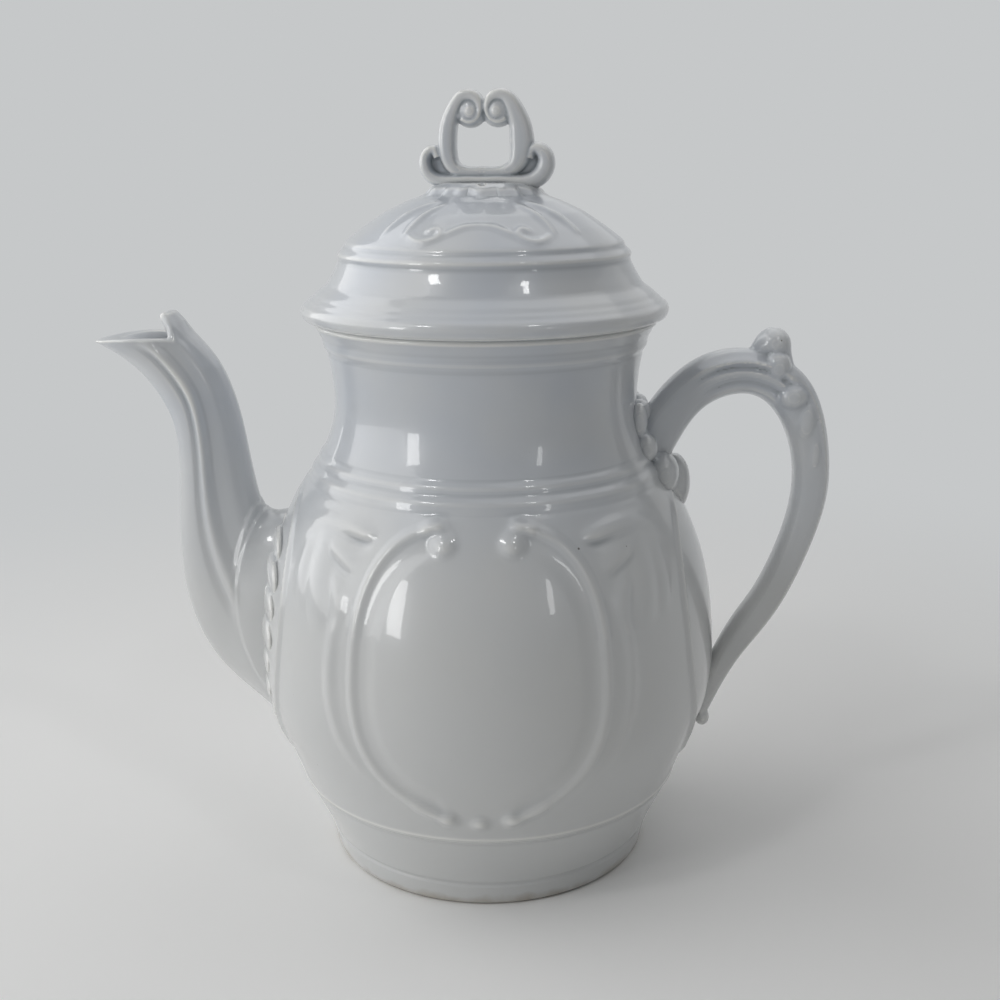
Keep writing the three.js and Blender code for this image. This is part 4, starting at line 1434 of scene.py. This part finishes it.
@dataclass
class Collar(SubAssembly):
    """The leafy collar that hides the joint of the spout: a seam of lobes down each side."""

    seam: Points = (
        (4, 42.5, 0.7), (7.5, 46, 0.85), (12, 54, 1.0), (15.5, 64, 1.0), (17.5, 76, 1.05),
        (17.5, 88, 1.2), (14.5, 98, 1.2), (9.5, 105, 0.95), (4, 108, 0.6))    # from the middle, height, size
    lift: float = -1.1
    lobes: int = 9
    strap: float = 1.5
    lobe: tuple[float, float, float] = (1.8, 10.6, 5.3)                   # out, across, up
    unevenness: float = 0.08
    seed: int = 7
    voxel: float = 0.55
    stations: int = 70            # points down each seam

    def build(self) -> list[Object]:
        """Press the lobes over a strap.

        Returns:
            The collar, melted into one skin.
        """
        y, z, size = rail(self.seam)(np.linspace(0, 1, self.stations)).T
        chains = [np.stack([self.form.seat(-1, side * y, z, self.lift), side * y, z], axis=-1)
                  for side in (-1, 1)]
        edges = [(i, i + 1) for i in range(2 * self.stations - 1) if i != self.stations - 1]
        seams = new_object("spout_collar", np.concatenate(chains), edges=edges)
        sizes = seams.data.attributes.new("size", "FLOAT", "POINT")
        sizes.data.foreach_set("value", np.tile(size, 2).astype(np.float32))
        run_tree(seams, lobes_tree(), {
            "Finish": self.finishes.glaze, "Lobes": self.lobes, "Strap": self.strap * MM,
            "Lobe": [radius * MM for radius in self.lobe], "Axis X": AXIS_X * MM,
            "Unevenness": self.unevenness, "Seed": self.seed})
        return [fused(seams, self.voxel, 7)]

    def dress(self, collar: Object) -> None:
        """Glaze the collar."""
        self.finishes.dress(collar, Body.POT, [])


@dataclass
class Handle(SubAssembly):
    """The looped handle with its thumb leaf, knuckle and the lobed leaf over its upper joint."""

    belly: float = 71.8
    outer: Points = (
        (-26, 136.5), (-19, 148), (-8, 158.6), (6, 162.9), (20.5, 159.6),
        (31.5, 147.6), (36.1, 125), (33, 104.4), (22.6, 79.3), (9.5, 60), (-0.5, 39))
    inner: Points = (
        (-16, 125), (-10.2, 136.5), (-3, 145.4), (7, 149), (15.4, 146.2),
        (22, 136.6), (25, 122.5), (22.8, 105.5), (15.2, 86), (6.3, 71.5), (-5, 47.5))
    half_widths: Sequence[float] = (8.4, 8, 7.6, 7.3, 7.2, 6.6, 6.3, 6.1, 5.8, 5.4, 4.2)
    squareness: float = 2.7
    ribs: Points = (
        (0.56, 1.2, 0.19), (0.02, 1.2, 0.19), (-0.72, 0.7, 0.22),
        (0.29, -1.1, 0.14), (-0.36, -1.0, 0.2), (0.84, -0.5, 0.14))       # share across, height, spread
    rib_span: tuple[float, float, float, float] = (0.16, 0.27, 0.4, 0.46)
    edge_rib: tuple[float, float, float] = (0.7, 0.75, 0.15)
    edge_span: tuple[float, float, float, float] = (0.42, 0.48, 0.86, 0.97)
    thumb: Points = ((10.5, 159.5), (14.2, 163.4), (17.2, 164.6), (19.2, 161.6), (22.5, 156.0))
    thumb_radii: Sequence[float] = (1.8, 3.7, 4.75, 3.3, 1.8)
    thumb_depth: float = 1.25     # its half-depth as a share of its radius
    thumb_stations: int = 48
    # Rounded leaf tips on the strap: place from the belly, from the middle and up, then radii
    tips: Points = (
        (17.8, 3.6, 157.4, 4.4, 4.4, 5.2), (22.6, 3.5, 148.8, 5.3, 5.7, 4.4),
        (27.2, 3.0, 141.0, 4.0, 4.7, 8.2), (30.4, 2.4, 130.5, 2.8, 4.6, 9.5),
        (-0.9, 0.5, 40.2, 2.5, 4.0, 3.0))
    leaf_top: float = 147.0
    leaf_foot: float = 112.5
    leaf_half_spread: float = 13.0
    leaf_lobes: Points = (
        (10.6, 142.2, 4.2, 5.8, 2.8), (11.8, 134.0, 4.6, 4.4, 3.4), (8.8, 125.6, 7.0, 6.4, 4.9),
        (4.6, 144.0, 4.6, 4.0, 3.6), (0.6, 120.4, 6.4, 9.2, 4.9))        # y, z, and radii y, z, out
    lobe_lift: float = 0.6
    voxel: float = 0.55
    sink: float = 1.5             # the strap's ends reach this far into the wall
    stations: int = 220           # points along the strap
    sides: int = 72               # points round it
    # Pad under the leaf's lobes: rings from the wall outwards as share of its size and lift
    pad: Points = ((0.3, -2.5), (0.8, -2.5), (1.0, -1.5), (1.0, 0.8), (0.86, 2.4), (0.3, 3.6))
    pad_shares: tuple[float, float] = (0.86, 0.92)      # of the leaf's width and height

    def strap(self) -> Object:
        """Model the strap between the handle's two rails.

        Returns:
            The strap with its ribs.
        """
        t = np.linspace(0, 1, self.stations)
        outer, inner = (rail(side)(t) + (self.belly, 0) for side in (self.outer, self.inner))
        across = (outer - inner) / 2
        c, s = section(self.sides, self.squareness)
        relief = np.zeros((self.stations, self.sides))
        for ribs, span in ((self.ribs, self.rib_span), ((self.edge_rib,), self.edge_span)):
            raised = sum(height * bump(c - place, spread) for place, height, spread in ribs)
            relief += window(t, span)[:, None] * raised
        rings = np.zeros((self.stations, self.sides, 3))
        rings[:, :, ::2] = ((outer + inner) / 2)[:, None] + across[:, None] * c[:, None]
        rings[:, :, 1] = (graded(self.half_widths)(t)[:, None] + relief) * s
        seat = self.form.seat(1, rings[:, :, 1], rings[:, :, 2], -self.sink)
        rings[:, :, 0] = np.maximum(rings[:, :, 0], seat)
        return skin("strap", rings)

    def leaf(self) -> Object:
        """Model the lobed leaf.

        Returns:
            Rounded lobes melted over a low pad.
        """
        middle = (self.leaf_top + self.leaf_foot) / 2
        half = (self.leaf_top - self.leaf_foot) / 2
        wide, tall = self.pad_shares
        turn = np.arange(64) / 64 * 2 * math.pi
        rings = []
        for share, lift in self.pad:
            y = self.leaf_half_spread * wide * share * np.cos(turn)
            z = middle + half * tall * share * np.sin(turn)
            rings.append(np.stack([self.form.seat(1, y, z, lift), y, z], axis=-1))
        parts = [skin("pad", np.stack(rings))]
        for y, z, wide, tall, out in self.leaf_lobes:
            for side in (1, -1):
                x = float(self.form.seat(1, np.array([y * side]), np.array([z]), self.lobe_lift)[0])
                parts.append(ball("lobe", (x, y * side, z), (out, wide, tall)))
        return fused(joined("handle_leaf", parts), self.voxel, 7)

    def build(self) -> list[Object]:
        """Model the handle and its leaf.

        Returns:
            The handle as one melted skin, and the leaf.
        """
        path = winding(np.asarray(self.thumb) + (self.belly, 0), self.thumb_stations)
        radii = graded(self.thumb_radii)(np.linspace(0, 1, self.thumb_stations))
        parts = [self.strap(), sweep("thumb_leaf", path, radii, radii * self.thumb_depth, 28)]
        for x, y, z, *radii in self.tips:
            parts += [ball("tip", (self.belly + x, side * y, z), radii, 32) for side in (1, -1)]
        return [fused(joined("pot_handle", parts), self.voxel, 2), self.leaf()]

    def dress(self, handle: Object, leaf: Object) -> None:
        """Glaze the handle and its leaf."""
        self.finishes.dress(handle, Body.POT, ["handle"], reach=1.6)
        self.finishes.dress(leaf, Body.POT, ["handle_upper_leaf"], reach=1.2)


LID_ORNAMENT = (
    Stroke(((34.0, 199.6), (33.6, 202.2), (31.0, 205.2), (25.0, 207.4)), (1.0, 1.4, 1.4, 1.0),
           (0.5, 0.8, 0.8, 0.4)),
    Stroke(((47.5, 200.0), (46.0, 203.2), (41.0, 206.2), (34.0, 208.0)), (1.2, 1.7, 1.6, 1.1),
           (0.6, 0.9, 0.9, 0.4)),
    Stroke(((31.0, 199.2), (26.0, 198.0), (20.5, 198.2), (16.8, 199.8), (19.0, 201.2), (22.6, 200.6)),
           (1.1, 1.3, 1.3, 1.2, 1.1, 1.0), (0.7, 1.0, 1.0, 0.9, 0.9, 0.7), 1.1),
    Stroke(((0.0, 202.2), (7.0, 201.8), (13.0, 200.4), (16.4, 199.4)), (1.0, 1.1, 1.1, 0.9),
           (0.7, 0.8, 0.8, 0.6), 1.2),
)


@dataclass
class Lid(SubAssembly):
    """The domed lid: overhanging lip, hollow, beads, moulded dome and scalloped mound; its flange."""

    rim_radius: float = 52.8
    mouth: float = 172.8
    skirt: Points = (
        (0.4, 0), (1, 0.8), (2.6, 0.6), (3.6, 3.1), (2.9, 4.8), (1.3, 5.7), (0.8, 6.5), (-0.6, 7.3),
        (-1.1, 8.1), (-4.6, 10.6), (-7.1, 14.8), (-8.8, 18.2), (-8, 19.6), (-9.2, 20.9),
        (-10.3, 21.8), (-10.4, 23), (-11.8, 24.2))
    dome: Points = ((36.3, 27.7), (30, 31.9), (22.8, 35.2))
    mound: Points = ((17.6, 36.9), (15.8, 39), (12.6, 40.3), (6, 40.4), (0, 40.4))
    hollow: Points = ((0, 35), (18, 31.2), (30, 25), (37.0, 16), (39.5, 6), (39.5, 0))
    scallops: int = 12
    scallop_height: float = 1.0
    scallop_level: float = 0.4    # share of it that is sunk in
    scallop_power: float = 0.7    # below 1 the scallops are full and the nicks between them narrow
    mound_radius: float = 17.0
    mound_edge: float = 3.6
    wear: float = 1.2             # reach of the mould's wear in cells of the lid's grid
    # Waves that make the scallops uneven: how many go round the mound, height and start
    unevenness: Points = ((5, 0.35, 0.8), (19, 0.3, 2))
    dome_start: float = 12.0      # the ornament is laid out over the lid above this height
    pole: float = 0.05            # radius of the smallest ring at the lid's middle
    vent: tuple[float, float, float] = (1.3, 13.0, 36.0)    # radius, place towards the front, height
    punch: float = 30.0
    columns: int = 480
    flange_depth: float = 11.0
    flange_thickness: float = 3.0
    flange_radius: float = 42.8
    flange_joint: float = 0.6     # it reaches this far into the lid

    def profile(self) -> np.ndarray:
        """Outside profile of the lid from its seat to the top, as (radius, height)."""
        skirt = [(self.rim_radius + out, rise) for out, rise in self.skirt]
        return eased([*skirt, *self.dome, *self.mound], 0.62, 0.55) + (0, self.mouth)

    def build(self) -> list[Object]:
        """Model the lid and its flange.

        Returns:
            The lid as one closed skin with its vent, and the flange.
        """
        outside = self.profile()
        outside[-1, 0] = self.pole
        length = measure(outside)
        angle = (np.arange(self.columns) / self.columns * 2 * math.pi)[None, :]
        radius, z = outside[:, :1], outside[:, 1:]
        upper = outside[:, 1] > self.mouth + self.dome_start

        def unroll(turn: np.ndarray, height: np.ndarray) -> np.ndarray:
            """Lay a place on the dome flat."""
            flat = [np.interp(height, outside[upper, 1], row[upper]) for row in (outside[:, 0], length)]
            return np.stack([turn * flat[0], flat[1]], axis=-1)

        across, along = np.broadcast_arrays(from_front(angle) * radius, length[:, None])
        relief = melted(laid(LID_ORNAMENT, across, along, unroll), self.wear)
        wave = np.abs(np.cos(self.scallops * angle / 2)) ** self.scallop_power
        wave = wave + sum(height * np.sin(turns * angle + start) for turns, height, start in self.unevenness)
        wave = wave - self.scallop_level
        push = self.scallop_height * bump(radius - self.mound_radius, self.mound_edge) * wave
        slope = np.gradient(outside, axis=0)
        slope /= np.linalg.norm(slope, axis=1, keepdims=True)
        shell = around(angle, radius + relief * slope[:, 1:] + push, z - relief * slope[:, :1])
        hollow = eased(self.hollow, 3.0, 2.0) + (0, self.mouth)
        hollow[0, 0] = self.pole
        rings = np.concatenate([around(angle, hollow[:, :1], hollow[:, 1:]), shell])
        hole, offset, height = self.vent
        lid = pierced(skin("lid_shell", rings), [(0, -offset, self.mouth + height)], hole, self.punch, 0,
                      self.finishes.glaze)
        return [lid, self.flange()]

    def flange(self) -> Object:
        """Turn the flange that keeps the lid in the mouth.

        Returns:
            The flange.
        """
        outer, inner = self.flange_radius, self.flange_radius - self.flange_thickness
        foot, top = self.mouth - self.flange_depth, self.mouth + self.flange_joint
        corners = [(inner, top), (inner, foot + 1), (inner + 1, foot), (outer - 1, foot),
                   (outer, foot + 1), (outer, top)]
        profile = np.concatenate([eased(corners, 0.5, 0.4), [corners[0]]])
        return turned_piece("lid_collar", profile, self.finishes.glaze, 192)

    def dress(self, lid: Object, flange: Object) -> None:
        """Glaze the lid and its flange."""
        self.finishes.dress(lid, Body.LID, ["lid_dome"])
        self.finishes.dress(flange, Body.LID, ["lid_flange"])


@dataclass(frozen=True)
class Ribbon:
    """A ribbon of clay: its path as (x, height over the base), half-thickness and share of the depth."""

    path: Points
    halves: Sequence[float]
    depths: Sequence[float]


@dataclass
class Finial(SubAssembly):
    """The open scroll finial: a frame on a foot band, its arms rolled in, a volute at each end."""

    base: float = 213.2
    half_depth: float = 4.5
    askew: float = -6.0           # degrees by which it was luted on out of true
    arms: tuple[Ribbon, Ribbon] = (
        Ribbon(((-1, 3.1), (5.0, 3.0), (9.4, 4.6), (11.2, 8.2), (11.5, 12.2), (11.1, 16), (10, 19.6),
                (8.6, 22.5)), (1.5, 1.6, 2.4, 3.3, 3.7, 3.3, 2.8, 2.4), (0.86, 0.9, 1, 1, 1, 1, 1, 1)),
        Ribbon(((1, 3.1), (-5.0, 3.0), (-9.0, 4.5), (-10.6, 8.2), (-10.8, 12.2), (-10.4, 16), (-9.3, 19.6),
                (-8.0, 22.2)), (1.5, 1.6, 2.1, 2.6, 2.7, 2.6, 2.3, 2.0), (0.86, 0.9, 1, 1, 1, 1, 1, 1)),
    )
    rolls: Points = ((4.5, 20.6), (-3.7, 20.5))         # middles of the arms' rolled ends
    roll_turns: tuple[float, float] = (62.0, 318.0)     # degrees from a roll's start to its end
    roll_reach: Sequence[float] = (4.6, 4.2, 3.4, 2.9, 2.9, 3.1, 3.3)
    roll_halves: Sequence[float] = (2.0, 1.8, 1.3, 0.95, 0.9, 0.9, 0.9)
    roll_depths: Sequence[float] = (1, 1, 0.98, 0.95, 0.9, 0.9, 0.85)
    volutes: tuple[Ribbon, Ribbon] = (
        Ribbon(((0, 0.8), (7, 0.8), (12, 0.3), (16.2, 1.1), (18.7, 4.6), (18.1, 8.4), (15.4, 9.7),
                (13.7, 7.0)),
               (1.3, 1.4, 2.0, 2.7, 2.75, 2.3, 1.7, 1.5), (1, 1, 1, 1, 1, 0.95, 0.9, 0.85)),
        Ribbon(((0, 0.8), (-7, 0.8), (-12, 0.5), (-15.6, 1.5), (-17.5, 4.6), (-17, 8.2), (-15, 9.4),
                (-13.6, 7.2)),
               (1.3, 1.4, 1.8, 2.0, 1.9, 1.7, 1.5, 1.4), (1, 1, 1, 1, 1, 0.95, 0.9, 0.85)),
    )
    # Balls: place, radius, share of the depth
    balls: Points = (
        (4.5, 20.6, 5.0, 0.96), (-3.7, 20.5, 5.0, 0.96), (4.3, 20.4, 3.6, 1.06), (-3.5, 20.3, 3.6, 1.06),
        (8.0, 19.6, 2.6, 0.8), (-7.2, 19.5, 2.6, 0.8), (13.0, 4.4, 4.4, 0.2), (-12.6, 4.4, 4.2, 0.2))
    voxel: float = 0.3
    stations: int = 110           # points along a ribbon
    sides: int = 32               # points round it
    squareness: tuple[float, float] = (3.0, 2.5)    # of the arms and of the volutes

    def roll(self, side: int) -> Ribbon:
        """Wind one arm's end round its ball.

        Args:
            side: 1 for the handle's arm, -1 for the spout's.

        Returns:
            The end, to be added to the arm.
        """
        x, z = self.rolls[0 if side > 0 else 1]
        turns = np.radians(np.linspace(*self.roll_turns, len(self.roll_reach)))
        path = [(x + side * reach * math.cos(turn), z + reach * math.sin(turn))
                for reach, turn in zip(self.roll_reach, turns)]
        return Ribbon(path, self.roll_halves, self.roll_depths)

    def build(self) -> list[Object]:
        """Model the finial, then turn it out of true.

        Returns:
            The finial as one melted skin.
        """
        parts = []
        for side, arm, volute in zip((1, -1), self.arms, self.volutes):
            end = self.roll(side)
            whole = Ribbon([*arm.path, *end.path], [*arm.halves, *end.halves],
                           [*arm.depths, *end.depths])
            for name, ribbon, square in zip(("arm", "volute"), (whole, volute), self.squareness):
                places = measure(ribbon.path, 0.5)
                share = np.linspace(0, places[-1], self.stations)
                line = winding(ribbon.path, self.stations) + (0, self.base)
                half, depth = (np.interp(share, places, row) for row in (ribbon.halves, ribbon.depths))
                parts.append(sweep(name, line, half, depth * self.half_depth, self.sides, square))
        for x, z, radius, depth in self.balls:
            parts.append(ball("ball", (x, 0, self.base + z), (radius, depth * self.half_depth, radius), 28))
        finial = fused(joined("lid_scrolls", [close_up(part) for part in parts]), self.voxel, 4)
        axis = Vector((AXIS_X * MM, 0, 0))
        turn = Matrix.Rotation(math.radians(self.askew), 4, "Z")
        finial.data.transform(Matrix.Translation(axis) @ turn @ Matrix.Translation(-axis))
        return [finial]

    def dress(self, finial: Object) -> None:
        """Glaze the finial."""
        self.finishes.dress(finial, Body.LID, ["lid_finial"], rounds=12)


@dataclass
class Studio:
    """Pale sweep, soft daylight from above and the left, and the camera at the photograph's place."""

    floor_colour: str = "#f7f7f6"
    backdrop: str = "#c6c8c9"
    room_colour: str = "#f0f3f6"
    floor_radius: float = 3.0     # metres, as is the fade
    floor_fade: tuple[float, float] = (0.14, 0.55)
    room: float = 0.06
    # Lamps: name, place, point faced and size in millimetres, watts
    lamps: tuple[tuple[str, tuple, tuple, tuple, float], ...] = (
        ("ceiling", (350, 250, 1500), (200, 50, 0), (1900, 1900), 6.5),
        ("window", (-1350, 110, 800), (0, 0, 120), (2400, 2000), 19.5),
        ("back", (900, 1250, 1700), (200, 100, 0), (3000, 2600), 7.0),
        ("tall_box_left", (-800, -660, 330), (0, 0, 110), (170, 430), 1.5),
        ("small_box_left", (-500, -540, 900), (0, 0, 150), (120, 120), 0.65),
        ("tall_box_right", (640, -750, 450), (0, 0, 110), (60, 240), 0.2),
        ("small_box_right", (430, -530, 950), (0, 0, 150), (90, 90), 0.38))
    eye: tuple[float, float, float] = (17.5, -400.9, 223.3)
    yaw: float = -1.9             # degrees from +Y towards +X
    pitch: float = 15.22          # degrees down
    roll: float = -0.37
    focal: float = 1297.85        # pixels in the photograph's 1000
    sensor: float = 36.0

    def build(self) -> None:
        """Set up the floor, the lights, the world and the camera."""
        bpy.context.scene.view_settings.view_transform = "Standard"
        self.floor()
        self.world()
        for lamp in self.lamps:
            self.lamp(*lamp)
        self.camera()

    def floor(self) -> None:
        """Lay the floor; it fades into the backdrop's colour far from the pot."""
        work = bmesh.new()
        bmesh.ops.create_circle(work, cap_ends=True, segments=96, radius=self.floor_radius)
        obj = kept("floor", work)
        material, tree = new_material("matt_paper_sweep")
        node = partial(add_node, tree)
        place = node("ShaderNodeTexCoord").outputs["Object"]
        away = node("ShaderNodeVectorMath", {"operation": "LENGTH"}, {0: place}).outputs["Value"]
        near, far = self.floor_fade
        fade = node("ShaderNodeMapRange", {
            "From Min": near, "From Max": far, "interpolation_type": "SMOOTHSTEP"}, {"Value": away})
        share = node("ShaderNodeMath", {"operation": "MULTIPLY"}, {0: fade, 1: self.seen(tree)})
        paper = node("ShaderNodeBsdfDiffuse", {"Color": colour(self.floor_colour)})
        glow = node("ShaderNodeEmission", {"Color": colour(self.backdrop)})
        mixed = node("ShaderNodeMixShader", links={0: share, 1: paper, 2: glow})
        node("ShaderNodeOutputMaterial", links={"Surface": mixed})
        obj.data.materials.append(material)

    def seen(self, tree: Tree) -> Node:
        """Say where a ray sees the backdrop itself.

        Args:
            tree: The floor's or the world's tree.

        Returns:
            A node that gives 1 for camera, glossy and transmission rays.
        """
        path = add_node(tree, "ShaderNodeLightPath")
        seen = path.outputs["Is Camera Ray"]
        for kind in ("Is Glossy Ray", "Is Transmission Ray"):
            seen = add_node(tree, "ShaderNodeMath", {"operation": "MAXIMUM"},
                            {0: seen, 1: path.outputs[kind]})
        return seen

    def world(self) -> None:
        """Light the room plainly and show the backdrop's colour behind it."""
        world = bpy.data.worlds.new("studio")
        bpy.context.scene.world = world
        world.use_nodes = True
        world.node_tree.nodes.clear()
        node = partial(add_node, world.node_tree)
        room = node("ShaderNodeBackground", {"Color": colour(self.room_colour), "Strength": self.room})
        back = node("ShaderNodeBackground", {"Color": colour(self.backdrop)})
        mixed = node("ShaderNodeMixShader", links={0: self.seen(world.node_tree), 1: room, 2: back})
        node("ShaderNodeOutputWorld", links={"Surface": mixed})

    def lamp(self, name: str, place: Sequence[float], aim: Sequence[float],
             size: tuple[float, float], power: float) -> None:
        """Hang one soft box.

        Args:
            name: The lamp's name.
            place: Its place in millimetres.
            aim: The point that it faces.
            size: Width and height in millimetres.
            power: Watts.
        """
        data = bpy.data.lights.new(name, "AREA")
        data.shape = "RECTANGLE"
        data.size, data.size_y = size[0] * MM, size[1] * MM
        data.energy = power
        obj = linked(name, data)
        obj.location = (Vector(place) + Vector((AXIS_X, 0, 0))) * MM
        obj.rotation_euler = (Vector(aim) - Vector(place)).to_track_quat("-Z", "Y").to_euler()

    def camera(self) -> None:
        """Place the camera where the photograph was taken from."""
        data = bpy.data.cameras.new("view")
        data.sensor_width = self.sensor
        data.lens = self.focal / 1000 * self.sensor
        data.clip_start, data.clip_end = 0.01, 20
        obj = linked("view", data)
        yaw, pitch, roll = map(math.radians, (self.yaw, self.pitch, self.roll))
        forward = Vector((math.sin(yaw) * math.cos(pitch), math.cos(yaw) * math.cos(pitch),
                          -math.sin(pitch)))
        right = Vector((math.cos(yaw), -math.sin(yaw), 0))
        up = right.cross(forward)
        right, up = (right * math.cos(roll) + up * math.sin(roll),
                     up * math.cos(roll) - right * math.sin(roll))
        turned = Matrix((right, up, -forward)).transposed()
        place = (Vector(self.eye) + Vector((AXIS_X, 0, 0))) * MM
        obj.matrix_world = Matrix.Translation(place) @ turned.to_4x4()
        bpy.context.scene.camera = obj


def main() -> None:
    """Build and dress the teapot, then the studio."""
    logging.basicConfig(level=logging.INFO, format="%(name)s %(message)s")
    form, finishes = WallForm(), Finishes(IronstoneGlaze().material(), BareIronstone().material())
    for kind in (Wall, Base, Spout, Collar, Handle, Lid, Finial):
        kind(form, finishes).make()
    Studio().build()


if __name__ == "__main__":
    main()
